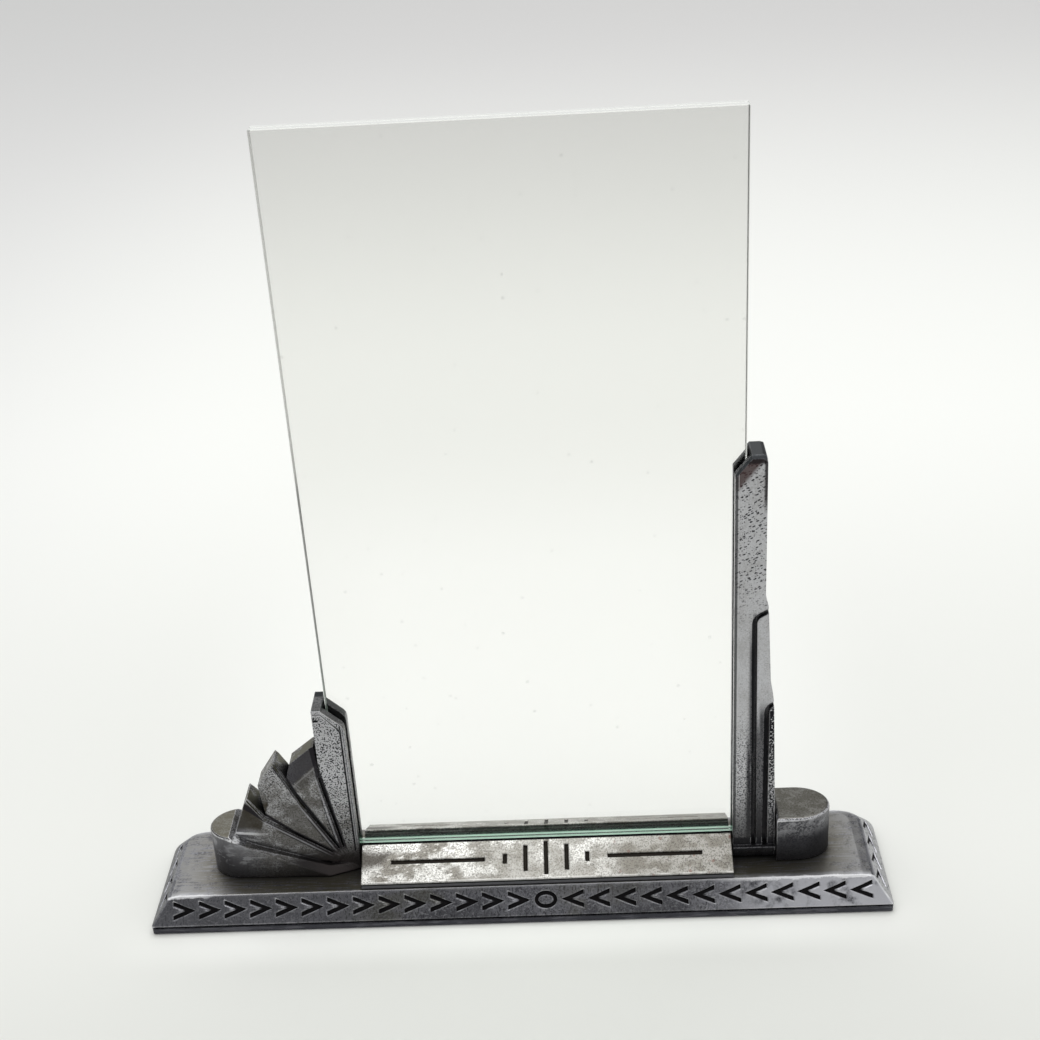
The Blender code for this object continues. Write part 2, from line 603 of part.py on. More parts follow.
def make_lobe():
    """Lowest ray of the fan: a half-round boss with a flat top and a ridge that falls from it to the hub."""
    boss_right = LOBE_LEFT + LOBE_TOP_LENGTH + LOBE_SHOULDER_RUN
    top = SEAT_Z + LOBE_HEIGHT
    mesh = bmesh.new()
    outline = bullnose_outline(LOBE_CENTRE, -LOBE_ROUND, LOBE_HALF_DEPTH, boss_right)
    add_prism(mesh, "Z", outline, SEAT_Z, top)
    slant = Vector((LOBE_SHOULDER_DROP, 0, LOBE_SHOULDER_RUN))
    round_rim(mesh, top)
    clip(mesh, Vector((LOBE_LEFT + LOBE_TOP_LENGTH, 0, top)), slant)
    boss = as_object("lobe_boss", mesh)

    shoulder_z = top - LOBE_SHOULDER_DROP
    root_z = SEAT_Z + LOBE_ROOT_HEIGHT
    root_x = UPRIGHT_LEFT
    end_depth = UPRIGHT_HALF_DEPTH + SEAT_GAP / 2
    rings = []
    start = LOBE_HALF_DEPTH - SEAT_GAP
    flank = LOBE_HALF_DEPTH + SEAT_GAP / 3
    for x, bottom, ridge, z in (
            (LOBE_CENTRE, start, start, shoulder_z - SEAT_GAP),
            (boss_right, flank, flank, shoulder_z + SEAT_GAP / 3),
            (root_x, LOBE_ROOT_HALF_DEPTH, flank - LOBE_RIDGE_INSET, root_z),
            (UPRIGHT_RIGHT, end_depth, end_depth - 2 * SEAT_GAP, root_z - SEAT_GAP)):
        rings.append([Vector((x, -bottom, SEAT_Z)), Vector((x, bottom, SEAT_Z)), Vector((x, ridge, z)),
                      Vector((x, -ridge, z))])
    mesh = bmesh.new()
    add_loft(mesh, rings)
    combine(boss, as_object("lobe_ridge", mesh), "UNION")
    return boss


def make_fan_bracket():
    """Left casting: upright with its glass channel, three upper rays and the lobe, joined and then grooved."""
    mesh = bmesh.new()
    add_prism(mesh, "Y", upright_outline(), -UPRIGHT_HALF_DEPTH, UPRIGHT_HALF_DEPTH)
    fan = as_object("fan_bracket", mesh)
    for number, ray in enumerate(RAYS):
        combine(fan, make_ray(f"ray_{number}", ray), "UNION")
    combine(fan, make_lobe(), "UNION")

    mesh = bmesh.new()
    for number, ray in enumerate(RAYS):
        add_ray_groove(mesh, ray, number > 0)
    combine(fan, as_object("ray_grooves", mesh), "DIFFERENCE")

    mesh = bmesh.new()
    outer = upright_outline(UPRIGHT_RIM)[1:]
    inner = upright_outline(UPRIGHT_RIM + UPRIGHT_RIM_LINE)[1:]
    raised = SLOT_FLOOR_Z
    strip = [(outer[0][0], raised)] + outer[1:] + inner[:0:-1] + [(inner[0][0], raised)]
    for side in (-1, 1):
        face_y = side * UPRIGHT_HALF_DEPTH
        add_prism(mesh, "Y", strip, face_y - UPRIGHT_RIM_LINE, face_y + UPRIGHT_RIM_LINE)
    channel = box_outline(GLASS_LEFT - CHANNEL_END_CLEARANCE, UPRIGHT_RIGHT + UPRIGHT_WIDTH, SLOT_FLOOR_Z,
                          SEAT_Z + UPRIGHT_HEIGHT + UPRIGHT_WIDTH)
    add_prism(mesh, "Y", channel, -CHANNEL_HALF_WIDTH, CHANNEL_HALF_WIDTH)
    add_screw_sockets(mesh, [SCREW_PLACES["fan_screw_outer"], SCREW_PLACES["fan_screw_inner"]])
    combine(fan, as_object("fan_cuts", mesh), "DIFFERENCE")
    finish(fan, "fan_bracket")


def tower_outline(drop=0.0):
    """Front outline of the tower: a chamfered top over two shoulders, with its top edges lowered by a drop."""
    top = SEAT_Z + TOWER_HEIGHT - drop
    second = SEAT_Z + SECOND_TOWER_HEIGHT
    third = SEAT_Z + THIRD_TOWER_HEIGHT
    outline = [(TOWER_LEFT, SEAT_Z),
               (BOSS_LEFT, SEAT_Z),
               (SECOND_TOWER_RIGHT + THIRD_TOWER_STEP, third),
               (SECOND_TOWER_RIGHT, third + THIRD_SHOULDER_RISE),
               (TOWER_RIGHT + SECOND_TOWER_STEP, second),
               (TOWER_RIGHT, second + SECOND_SHOULDER_RISE),
               (TOWER_RIGHT, top),
               (TOWER_RIGHT - TOWER_TOP_WIDTH, top),
               (TOWER_LEFT, top - TOWER_CHAMFER_HEIGHT)]
    outline = cut_corner(outline, 6, TOWER_CORNER_CUT)
    outline = cut_corner(outline, 4, SECOND_SHOULDER_RISE / 2)
    return cut_corner(outline, 2, THIRD_SHOULDER_RISE / 2)


def add_tower_groove(mesh, left, lean, exit_x, top):
    """Groove in both faces that climbs beside a step and bends out to the right over its shoulder."""
    half = TOWER_GROOVE_WIDTH / 2
    bend = TOWER_GROOVE_BEND
    start = Vector((left + half, top - bend))
    centre_line = [Vector((start.x + lean, SEAT_Z + TOWER_FOOT_TOP)), start]
    turns = [radians(angle) for angle in TOWER_GROOVE_TURNS]
    centre_line += [start + Vector((1 - cos(turn), sin(turn))) * bend for turn in turns]
    heading = Vector((sin(turns[-1]), cos(turns[-1])))
    last = centre_line[-1]
    centre_line.append(last + heading * (exit_x - last.x + TOWER_GROOVE_WIDTH) / heading.x)
    for side in (-1, 1):
        rings = []
        for k, point in enumerate(centre_line):
            ahead = centre_line[min(k + 1, len(centre_line) - 1)] - centre_line[max(k - 1, 0)]
            across = Vector((-ahead.y, ahead.x)).normalized() * half
            mouth = side * (TOWER_HALF_DEPTH + TOWER_GROOVE_DEPTH)
            floor = side * (TOWER_HALF_DEPTH - TOWER_GROOVE_DEPTH)
            left_edge = point + across
            right_edge = point - across
            corners = ((left_edge, mouth), (left_edge, floor), (right_edge, floor), (right_edge, mouth))
            rings.append([Vector((edge.x, y, edge.y)) for edge, y in corners])
        add_loft(mesh, rings)


def make_tower_bracket():
    """Right casting: stepped tower with its glass channel, a foot and a half-round boss."""
    depth = TOWER_HALF_DEPTH
    flat = depth - TOWER_TOP_BEVEL
    rings = [[Vector((x, y, z)) for x, z in tower_outline(drop)]
             for y, drop in ((-depth, TOWER_TOP_BEVEL), (-flat, 0.0), (flat, 0.0), (depth, TOWER_TOP_BEVEL))]
    mesh = bmesh.new()
    add_loft(mesh, rings)
    tower = as_object("tower_bracket", mesh)

    mesh = bmesh.new()
    ledge_low = SEAT_Z + TOWER_FOOT_TOP - TOWER_FOOT_THICKNESS
    foot = [(-TOWER_NECK_HALF_DEPTH, SEAT_Z), (TOWER_NECK_HALF_DEPTH, SEAT_Z),
            (TOWER_NECK_HALF_DEPTH, ledge_low), (TOWER_FOOT_HALF_DEPTH, ledge_low),
            (TOWER_FOOT_HALF_DEPTH, SEAT_Z + TOWER_FOOT_TOP), (-TOWER_FOOT_HALF_DEPTH, SEAT_Z + TOWER_FOOT_TOP),
            (-TOWER_FOOT_HALF_DEPTH, ledge_low), (-TOWER_NECK_HALF_DEPTH, ledge_low)]
    add_prism(mesh, "X", foot, TOWER_LEFT, BOSS_LEFT + 2 * SEAT_GAP)
    combine(tower, as_object("tower_foot", mesh), "UNION")

    outline = bullnose_outline(BOSS_CENTRE, BOSS_ROUND, BOSS_HALF_DEPTH, BOSS_LEFT)
    mesh = bmesh.new()
    add_prism(mesh, "Z", outline, SEAT_Z, SEAT_Z + BOSS_HEIGHT)
    round_rim(mesh, SEAT_Z + BOSS_HEIGHT)
    combine(tower, as_object("tower_boss", mesh), "UNION")

    mesh = bmesh.new()
    add_tower_groove(mesh, TOWER_RIGHT - FIRST_GROOVE_INSET, FIRST_GROOVE_LEAN, TOWER_RIGHT + SECOND_TOWER_STEP,
                     SEAT_Z + SECOND_TOWER_HEIGHT - TOWER_GROOVE_DROP)
    add_tower_groove(mesh, SECOND_TOWER_RIGHT - SECOND_GROOVE_INSET, 0.0, SECOND_TOWER_RIGHT + THIRD_TOWER_STEP,
                     SEAT_Z + THIRD_TOWER_HEIGHT - TOWER_GROOVE_DROP / 2)
    channel = box_outline(TOWER_LEFT - TOWER_WIDTH, GLASS_RIGHT + CHANNEL_END_CLEARANCE, SLOT_FLOOR_Z,
                          SEAT_Z + TOWER_HEIGHT + TOWER_WIDTH)
    add_prism(mesh, "Y", channel, -CHANNEL_HALF_WIDTH, CHANNEL_HALF_WIDTH)
    add_screw_sockets(mesh, [SCREW_PLACES["tower_screw_inner"], SCREW_PLACES["tower_screw_outer"]])
    combine(tower, as_object("tower_cuts", mesh), "DIFFERENCE")
    finish(tower, "tower_bracket")


def make_pane(name, y_low):
    """Bare pane of glass with its arrises just broken, its origin on its lower edge, where it lifts from."""
    mesh = bmesh.new()
    half_thickness = GLASS_THICKNESS / 2
    outline = box_outline(-GLASS_WIDTH / 2, GLASS_WIDTH / 2, -half_thickness, half_thickness)
    add_prism(mesh, "Z", outline, 0.0, GLASS_HEIGHT)
    bmesh.ops.bevel(mesh, geom=mesh.edges[:], offset=GLASS_EDGE_BREAK, segments=1, affect="EDGES")
    pane = as_object(name, mesh)
    pane.location = (GLASS_CENTRE, y_low + GLASS_THICKNESS / 2, GLASS_Z)
    finish(pane, name, 20.0)


def make_screws():
    """Six identical slotted screws, heads down in the hollow of the plinth."""
    head = SCREW_HEAD_DIAMETER / 2
    shank = SCREW_DIAMETER / 2
    dome = SCREW_HEAD_HEIGHT / 3
    profile = ((head * SCREW_CROWN_SHARE, -SCREW_HEAD_HEIGHT), (head, -SCREW_HEAD_HEIGHT + dome), (head, 0.0),
               (shank, 0.0), (shank, SCREW_LENGTH - dome), (shank - dome, SCREW_LENGTH))
    mesh = bmesh.new()
    add_loft(mesh, [[Vector((x, y, z)) for x, y in circle_outline(0, 0, radius, ROUND_STEPS // 2)]
                    for radius, z in profile])
    first = as_object("screw_blank", mesh)
    mesh = bmesh.new()
    slot_end = head + SCREW_SLOT_WIDTH
    add_prism(mesh, "Z", box_outline(-slot_end, slot_end, -SCREW_SLOT_WIDTH / 2, SCREW_SLOT_WIDTH / 2),
              -SCREW_HEAD_HEIGHT - SCREW_SLOT_DEPTH, -SCREW_HEAD_HEIGHT + SCREW_SLOT_DEPTH)
    combine(first, as_object("screw_slot", mesh), "DIFFERENCE")
    blank = first.data
    bpy.data.objects.remove(first)
    for number, (name, x) in enumerate(SCREW_PLACES.items()):
        screw = bpy.data.objects.new(name, blank.copy())
        screw.location = (x, 0, HEAD_SEAT_Z - SEAT_GAP)
        screw.rotation_euler.z = number * pi / len(SCREW_PLACES)
        bpy.context.scene.collection.objects.link(screw)
        finish(screw, "screw")


def main():
    for item in list(bpy.data.objects):
        bpy.data.objects.remove(item)
    make_plinth()
    make_rail()
    make_fan_bracket()
    make_tower_bracket()
    make_pane("front_glass", -PANE_GAP / 2 - GLASS_THICKNESS)
    make_pane("rear_glass", PANE_GAP / 2)
    make_screws()
    bpy.context.view_layer.update()


main()
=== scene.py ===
# %% [markdown]
# # A double glass picture frame in worn cast metal
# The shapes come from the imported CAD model, so this lesson is about looks: how old cast metal, a
# worn rail and two bare panes of glass get their finish from nodes alone. Everything is in metres,
# with +X to the viewer's right, +Y to the back and +Z up, and the underside of the plinth at zero.
# Materials read places in millimetres, because grooves and worn edges are a millimetre wide or less.

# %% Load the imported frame
import math
from typing import NamedTuple

import bpy
import numpy as np
from mathutils import Matrix, Vector


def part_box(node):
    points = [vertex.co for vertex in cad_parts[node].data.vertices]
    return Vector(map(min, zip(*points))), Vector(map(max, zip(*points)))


MILLIMETRES = 1000.0

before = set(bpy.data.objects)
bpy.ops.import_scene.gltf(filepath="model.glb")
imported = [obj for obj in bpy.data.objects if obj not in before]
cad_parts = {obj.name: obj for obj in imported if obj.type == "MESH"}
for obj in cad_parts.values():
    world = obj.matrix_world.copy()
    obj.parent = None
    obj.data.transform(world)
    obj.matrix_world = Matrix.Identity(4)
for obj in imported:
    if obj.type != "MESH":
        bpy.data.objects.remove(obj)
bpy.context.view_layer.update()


# %% [markdown]
# The photograph was taken from a little above, slightly right of the middle, with the camera tipped
# a few degrees. A camera is three directions and a place: `back` points from the object to the lens,
# `right` and `up` span the picture, and the tip turns these two about `back`.

# %% Camera
AZIMUTH = math.radians(2.66)
ELEVATION = math.radians(28.17)
TIP = math.radians(-3.64)
CAMERA_PLACE = Vector((0.0233, -0.3656, 0.3137))
FILM_WIDTH, FOCAL_LENGTH = 36.0, 56.15
NEAREST = 0.01

back = Vector((math.sin(AZIMUTH) * math.cos(ELEVATION),
               -math.cos(AZIMUTH) * math.cos(ELEVATION),
               math.sin(ELEVATION)))
level = Vector((math.cos(AZIMUTH), math.sin(AZIMUTH), 0.0))
upright = back.cross(level)
right = level * math.cos(TIP) + upright * math.sin(TIP)
up = upright * math.cos(TIP) - level * math.sin(TIP)

camera = bpy.data.objects.new("camera", bpy.data.cameras.new("camera"))
camera.data.sensor_width = FILM_WIDTH
camera.data.lens = FOCAL_LENGTH
camera.data.clip_start = NEAREST
turn = Matrix((right, up, back)).transposed().to_4x4()
camera.matrix_world = Matrix.Translation(CAMERA_PLACE) @ turn
bpy.context.scene.collection.objects.link(camera)
bpy.context.scene.camera = camera
print("camera is", round(CAMERA_PLACE.length, 3), "m from the plinth's middle")

# %% [markdown]
# Shader maths reads best as sums. A `Wire` holds one output socket; adding or multiplying wires adds
# the matching Math node behind the scenes, and `node` makes any other kind of node: its settings
# come first, then what goes into its sockets.

# %% Wires for shader maths
MIX_FACTOR, MIX_FIRST, MIX_SECOND, MIX_RESULT = 0, 6, 7, 2


class Wire:
    """One output socket of a node tree, with operators that add Math nodes."""

    def __init__(self, tree, socket=None):
        self.tree = tree
        self.socket = socket

    def node(self, kind, settings=None, inputs=None, output=0):
        """A new node of this tree: settings first, then values or wires for its inputs."""
        made = self.tree.nodes.new("ShaderNode" + kind)
        for name, value in (settings or {}).items():
            setattr(made, name, value)
        for name, value in (inputs or {}).items():
            if isinstance(value, Wire):
                self.tree.links.new(value.socket, made.inputs[name])
            else:
                made.inputs[name].default_value = value
        return Wire(self.tree, made.outputs[output])

    def math(self, operation, first, second=0.0):
        return self.node("Math", {"operation": operation}, {0: first, 1: second})

    def root(self):
        return self.math("SQRT", self)

    def __add__(self, other):
        return self.math("ADD", self, other)

    def __radd__(self, other):
        return self.math("ADD", other, self)

    def __sub__(self, other):
        return self.math("SUBTRACT", self, other)

    def __rsub__(self, other):
        return self.math("SUBTRACT", other, self)

    def __mul__(self, other):
        return self.math("MULTIPLY", self, other)

    def __rmul__(self, other):
        return self.math("MULTIPLY", other, self)

    def __truediv__(self, other):
        return self.math("DIVIDE", self, other)

    def __abs__(self):
        return self.math("ABSOLUTE", self)

    def above(self, low, high):
        """0 below `low`, 1 above `high` and a soft S between; with low > high it falls instead."""
        falls = low > high
        return self.node("MapRange", {"interpolation_type": "SMOOTHSTEP"},
                         {"Value": self, "From Min": min(low, high), "From Max": max(low, high),
                          "To Min": float(falls), "To Max": float(not falls)})

    def larger(self, other):
        return self.math("MAXIMUM", self, other)

    def smaller(self, other):
        return self.math("MINIMUM", self, other)

    def mixed(self, first, second):
        """Colour that goes from `first` to `second` as this wire goes from 0 to 1."""
        first, second = (tone if isinstance(tone, Wire) else (*tone, 1.0) for tone in (first, second))
        return self.node("Mix", {"data_type": "RGBA"},
                         {MIX_FACTOR: self, MIX_FIRST: first, MIX_SECOND: second}, MIX_RESULT)


def new_finish(name):
    """A material with its shader node, and a wire of the place on the piece in millimetres."""
    material = bpy.data.materials.new(name)
    material.use_nodes = True
    tree = material.node_tree
    place = Wire(tree).node("TexCoord", output="Object")
    place = place.node("VectorMath", {"operation": "SCALE"}, {0: place, "Scale": MILLIMETRES})
    return material, tree.nodes["Principled BSDF"], place


def split(vector):
    """The three parts of a vector wire."""
    tree = vector.tree
    parts = tree.nodes.new("ShaderNodeSeparateXYZ")
    tree.links.new(vector.socket, parts.inputs[0])
    return [Wire(tree, socket) for socket in parts.outputs]


def drive(shader, **wires):
    """Lead wires to the shader's sockets, named in lower case with _ for a space."""
    for name, wire in wires.items():
        wire.tree.links.new(wire.socket, shader.inputs[name.replace("_", " ").title()])


print("wires ready")

# %% [markdown]
# The floor is a pale seamless sheet. One large plane is enough, because the camera looks down on it
# everywhere. Its colour carries painted light: it runs softly from darker in front to brightest some
# way behind the object, darker again far back and to the left, and is painted lighter close to the
# frame and behind the panes. Its shadow comes from the lights.

# %% Floor
def flat_grid(name, half_x, half_y, steps):
    """A level sheet: x and y run evenly from -half to +half over steps by steps cells."""
    x, y = np.meshgrid(np.linspace(-half_x, half_x, steps + 1), np.linspace(-half_y, half_y, steps + 1))
    points = np.stack([x, y, np.zeros_like(x)], -1).reshape(-1, 3)
    corner = (np.arange(steps)[:, None] * (steps + 1) + np.arange(steps)[None, :]).ravel()
    faces = np.stack([corner, corner + 1, corner + steps + 2, corner + steps + 1], 1)
    mesh = bpy.data.meshes.new(name)
    mesh.from_pydata(points.tolist(), [], faces.tolist())
    sheet = bpy.data.objects.new(name, mesh)
    bpy.context.scene.collection.objects.link(sheet)
    return sheet


FLOOR_HALF, FLOOR_CELLS = 6.0, 12
FOOT_HALF_X, FOOT_HALF_Y = 104.0, 19.4
# Distances on the floor are in millimetres, as on the pieces
NEAR_PAPER, BESIDE_PAPER = (0.695, 0.70, 0.67), (0.83, 0.835, 0.805)
PAINTED_LIGHT_PAPER, FAR_PAPER, LEFT_PAPER = (0.925, 0.93, 0.905), (0.80, 0.79, 0.79), (0.78, 0.775, 0.775)
PAINTED_LIGHT_BEHIND_PANES, PAINTED_LIGHT_AT_FOOT = (0.965, 0.97, 0.945), (0.97, 0.975, 0.945)

floor = flat_grid("floor", FLOOR_HALF, FLOOR_HALF, FLOOR_CELLS)
paper, paper_shader, place = new_finish("floor_paper")
across, away, _ = split(place)
past_end = (abs(across) - FOOT_HALF_X).larger(0.0)
past_side = (abs(away) - FOOT_HALF_Y).larger(0.0)
clear_of_foot = past_end.larger(past_side)
# Painted light and shade: darker in front, far back and to the left, brightest some way behind
tone = away.above(-170.0, 40.0).mixed(NEAR_PAPER, BESIDE_PAPER)
tone = away.above(40.0, 330.0).mixed(tone, PAINTED_LIGHT_PAPER)
tone = away.above(330.0, 1200.0).mixed(tone, FAR_PAPER)
tone = (across.above(-120.0, -420.0) * 0.75).mixed(tone, LEFT_PAPER)
# Painted light on the paper behind the panes, close to the frame
painted_light_behind = away.above(-10.0, 20.0) * clear_of_foot.above(290.0, 50.0) * abs(across).above(130.0, 40.0)
tone = (painted_light_behind * 0.9).mixed(tone, PAINTED_LIGHT_BEHIND_PANES)
# Painted light on the paper just in front of the plinth's foot
before = away.above(0.0, -20.0) * past_side.above(17.0, 4.0) * abs(across).above(122.0, 70.0)
tone = (before * 0.95).mixed(tone, PAINTED_LIGHT_AT_FOOT)
drive(paper_shader, base_color=tone)
paper_shader.inputs["Roughness"].default_value = 0.9
paper_shader.inputs["Specular IOR Level"].default_value = 0.1
floor.data.materials.append(paper)
print("floor:", [round(side, 1) for side in floor.dimensions])

# %% [markdown]
# Metal shows its surroundings. In the photograph the upright faces mirror the white floor, the rail
# mirrors a bright light overhead, and the slopes that lean back mirror a dark room in front. A
# studio gets that with an even pale world, a softbox above, and dark cards ("flags") that only
# reflections see. The front flag ends short of the right-hand side, so the plinth's slope brightens
# there. A second flag behind gives the rear of the frame the same contrast.

# %% Light
SKY, SKY_STRENGTH = (0.93, 0.94, 0.93, 1.0), 0.80
DARK_CLOTH = (0.05, 0.05, 0.058, 1.0)

world = bpy.data.worlds.new("studio")
bpy.context.scene.world = world
world.use_nodes = True
sky = world.node_tree.nodes["Background"]
sky.inputs["Color"].default_value = SKY
sky.inputs["Strength"].default_value = SKY_STRENGTH


def add_softbox(name, place, size, power):
    """A square area light of `size` metres and `power` watts that faces the object."""
    lamp = bpy.data.lights.new(name, "AREA")
    lamp.size = size
    lamp.energy = power
    box = bpy.data.objects.new(name, lamp)
    box.location = place
    box.rotation_euler = (-Vector(place)).to_track_quat("-Z", "Y").to_euler()
    bpy.context.scene.collection.objects.link(box)


def add_flag(name, place, half_x, half_y, turn):
    """A dark card that only reflections see, tipped by `turn` degrees about x."""
    card = flat_grid(name, half_x, half_y, 2)
    card.location = place
    card.rotation_euler.x = math.radians(turn)
    cloth, shader, _ = new_finish(name)
    shader.inputs["Base Color"].default_value = DARK_CLOTH
    shader.inputs["Roughness"].default_value = 1.0
    card.data.materials.append(cloth)
    card.visible_camera = False
    card.visible_diffuse = False
    card.visible_shadow = False
    card.visible_transmission = False


add_softbox("softbox", place=(0.0, 0.17, 1.08), size=0.9, power=4.8)
add_flag("flag_front", place=(-0.88, -0.90, 0.80), half_x=1.0, half_y=0.50, turn=55)
add_flag("flag_rear", place=(1.40, 0.90, 0.80), half_x=1.0, half_y=0.50, turn=-55)

# %% [markdown]
# Worn cast metal has four layers. The bare metal shows on faces that hands and cloths reach. A
# darker tarnish sits in hollows, and the deepest are blackened with dirt and painted shade. Raised
# edges are rubbed bright, and many carry a painted highlight as well. Casting pits hold black dirt.
# Two shader nodes find the places by themselves: Ambient Occlusion measures how closed in a point
# is, and Bevel gives a rounded normal that differs from the real one only near an edge.

# %% Masks that worn metal shares
EVEN = (1.0, 1.0, 1.0)
NOISE_ROUGHNESS = 0.55
DOT_RIM, DOT_CORE = 0.44, 0.30
HOLLOW_RAYS, EDGE_RAYS = 8, 6


def scaled(place, size, stretch, shift):
    """The place in cells of `size` millimetres, drawn out by `stretch` and moved by `shift` cells."""
    cells = tuple(1.0 / (size * pull) for pull in stretch)
    return place.node("VectorMath", {"operation": "MULTIPLY_ADD"}, {0: place, 1: cells, 2: shift})


def noise(place, size, detail=3.0, seed=0.0, stretch=EVEN):
    """Soft random value, about 0.3 to 0.7, in patches of `size` millimetres drawn out by `stretch`."""
    spread = scaled(place, size, stretch, (seed, seed * 1.7, seed * 2.3))
    return place.node("TexNoise", None, {"Vector": spread, "Scale": 1.0, "Detail": detail,
                                         "Roughness": NOISE_ROUGHNESS})


def turned(place, angle):
    """The place in axes turned by `angle` degrees about y, so that a stretched pattern slants."""
    return place.node("VectorRotate", {"rotation_type": "Y_AXIS"},
                      {"Vector": place, "Angle": math.radians(angle)})


def pits(place, size, share, seed=0.0, stretch=EVEN):
    """1 in small dots: of the cells of `size` millimetres, about this share holds a dot."""
    cells = place.tree.nodes.new("ShaderNodeTexVoronoi")
    place.tree.links.new(scaled(place, size, stretch, (seed, seed, seed)).socket, cells.inputs["Vector"])
    cells.inputs["Scale"].default_value = 1.0
    distance = Wire(place.tree, cells.outputs["Distance"])
    chance = place.node("SeparateColor", None, {"Color": Wire(place.tree, cells.outputs["Color"])})
    return distance.above(DOT_RIM, DOT_CORE) * (share - chance).above(-0.02, 0.02)


def closed_in(place, reach, own=True):
    """1 deep in a corner or groove, 0 in the open, felt over `reach` metres."""
    return 1.0 - place.node("AmbientOcclusion", {"samples": HOLLOW_RAYS, "only_local": own},
                            {"Distance": reach}, "AO")


def rounded_normal(place, radius):
    """The surface's direction as if every edge had a small radius, in metres."""
    return place.node("Bevel", {"samples": EDGE_RAYS}, {"Radius": radius})


def bent(first, second):
    """1 where two directions differ, as on an edge, and 0 where they are the same."""
    same = first.node("VectorMath", {"operation": "DOT_PRODUCT"}, {0: first, 1: second}, "Value")
    return same.above(0.995, 0.90)


def band(wire, low, high, soft):
    """1 between `low` and `high`, falling to 0 over `soft` on each side."""
    return wire.above(low - soft, low + soft) * wire.above(high + soft, high - soft)


print("masks ready")

# %% [markdown]
# One recipe serves every casting, with its own colours and amounts. It keeps its wires, so that a
# piece can still add what only it shows, such as the dark floor of the plinth's chevrons. What is
# added is a film: a colour, a roughness and how much of the metal it hides where it lies. Later films
# lie over earlier ones, as real dirt and wear do.

# %% Recipe for worn cast metal
EDGE_RADIUS, HOLLOW_REACH = 0.00045, 0.0035
PATCH_SIZE, GRAIN_SIZE = 6.0, 0.5
GRAIN_RELIEF = 0.00003
TARNISH_ROUGHNESS, WORN_SMOOTHER = 0.46, 0.12
WEAR_AND_HIGHLIGHT_ROUGHNESS, WEAR_AND_HIGHLIGHT_SCATTER, DIRT_AND_SHADE_ROUGHNESS = 0.4, 0.75, 0.60


class Film(NamedTuple):
    """A thin layer on metal: its colour, its roughness and the share of the metal that it hides."""

    colour: tuple
    rough: float
    share: float = 1.0

    def lit(self, light):
        """The same film with its colour made lighter or darker."""
        return self._replace(colour=tuple(part * light for part in self.colour))


def put_on(names, material):
    """Make this the only material of these CAD nodes."""
    for name in names:
        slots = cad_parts[name].data.materials
        slots.clear()
        slots.append(material)
    print(material.name, "covers", ", ".join(names))


class CastMetal:
    """The layers of one worn casting, from bare metal to dirt, as wires that a piece may change."""

    def __init__(self, name, bare, tarnish, seed, bias=0.5):
        self.material, self.shader, self.place = new_finish(name)
        self.x, self.y, self.z = split(self.place)
        real = self.place.node("NewGeometry", output="True Normal")
        self.side, self.face, self.top = split(real)
        self.rounded = rounded_normal(self.place, EDGE_RADIUS)
        self.edge = bent(self.rounded, real)
        self.upward = (split(self.rounded)[2] - self.top).above(0.06, 0.28)
        self.hollow = closed_in(self.place, HOLLOW_REACH).above(0.25, 0.85)
        self.grain = noise(self.place, GRAIN_SIZE, 3.0, seed + 5.0)
        patch = noise(self.place, PATCH_SIZE, 4.0, seed)
        worn = (patch * 0.5 + self.grain * 0.5).above(bias - 0.10, bias + 0.10)
        self.colour = worn.mixed(tarnish, bare)
        self.rough = TARNISH_ROUGHNESS - worn * WORN_SMOOTHER
        self.bump = self.grain * 0.5
        self.metallic = None

    def stain(self, mask, film):
        """Lay a film over what is there, as far as the mask says."""
        if film.share < 1.0:
            mask = mask * film.share
        self.colour = mask.mixed(self.colour, film.colour)
        self.rough = self.rough * (1.0 - mask) + mask * film.rough

    def wear_and_highlight(self, mask, tone=0.86):
        """Brighten an edge for wear and painted highlights; it scatters light, so shines less like a
        mirror.
        """
        self.stain(mask, Film((tone, tone, tone + 0.02), WEAR_AND_HIGHLIGHT_ROUGHNESS))
        kept = 1.0 - mask * WEAR_AND_HIGHLIGHT_SCATTER
        self.metallic = kept if self.metallic is None else self.metallic.smaller(kept)

    def dirt_and_shade(self, mask, tone=0.012):
        """Black, a little sunk: dirt in pits and painted shade in grooves, slots and thin shadow lines.
        """
        self.stain(mask, Film((tone, tone, tone * 1.15), DIRT_AND_SHADE_ROUGHNESS))
        self.bump = self.bump - mask

    def cover(self, names):
        """Connect the layers to the shader and put the finish on these CAD nodes."""
        drive(self.shader, base_color=self.colour, roughness=self.rough)
        if self.metallic is None:
            self.shader.inputs["Metallic"].default_value = 1.0
        else:
            drive(self.shader, metallic=self.metallic)
        relief = self.place.node("Bump", None, {"Strength": 1.0, "Distance": GRAIN_RELIEF,
                                                "Height": self.bump, "Normal": self.rounded})
        drive(self.shader, normal=relief)
        put_on(names, self.material)

    def report(self):
        """Print how far the finish has grown."""
        print(self.material.name, "has", len(self.material.node_tree.nodes), "nodes so far")


print("recipe ready: edges rounded by", MILLIMETRES * EDGE_RADIUS, "mm")


# %% [markdown]
# The plinth is the darkest casting: gunmetal slopes, black chevrons with painted highlights on their
# lower lips, an olive film on its flat top that thickens round the feet of the castings, and a painted
# highlight over some rubbed wear along its front edge. Every layer needs to know which face it lies
# on. The slopes run out evenly towards the foot and go round the rear corners, so x, y and z tell how
# deep a point lies below them, and that finds the chevrons exactly, because only they are cut into the
# slopes.

# %% Plinth: find its faces
_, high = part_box("plinth")
HALF_LENGTH, HALF_DEPTH, TOP_Z = (MILLIMETRES * side for side in high)
FOOT_Z, SLOPE_RUN = 2.8, 5.1
ACROSS_SLOPE = (TOP_Z - FOOT_Z) / math.hypot(TOP_Z - FOOT_Z, SLOPE_RUN)
FRONT_RADIUS, REAR_RADIUS = 0.6, 5.8
SKIN_DEPTH = 1.2
GUNMETAL, GUNMETAL_TARNISH = (0.32, 0.32, 0.35), (0.135, 0.135, 0.15)

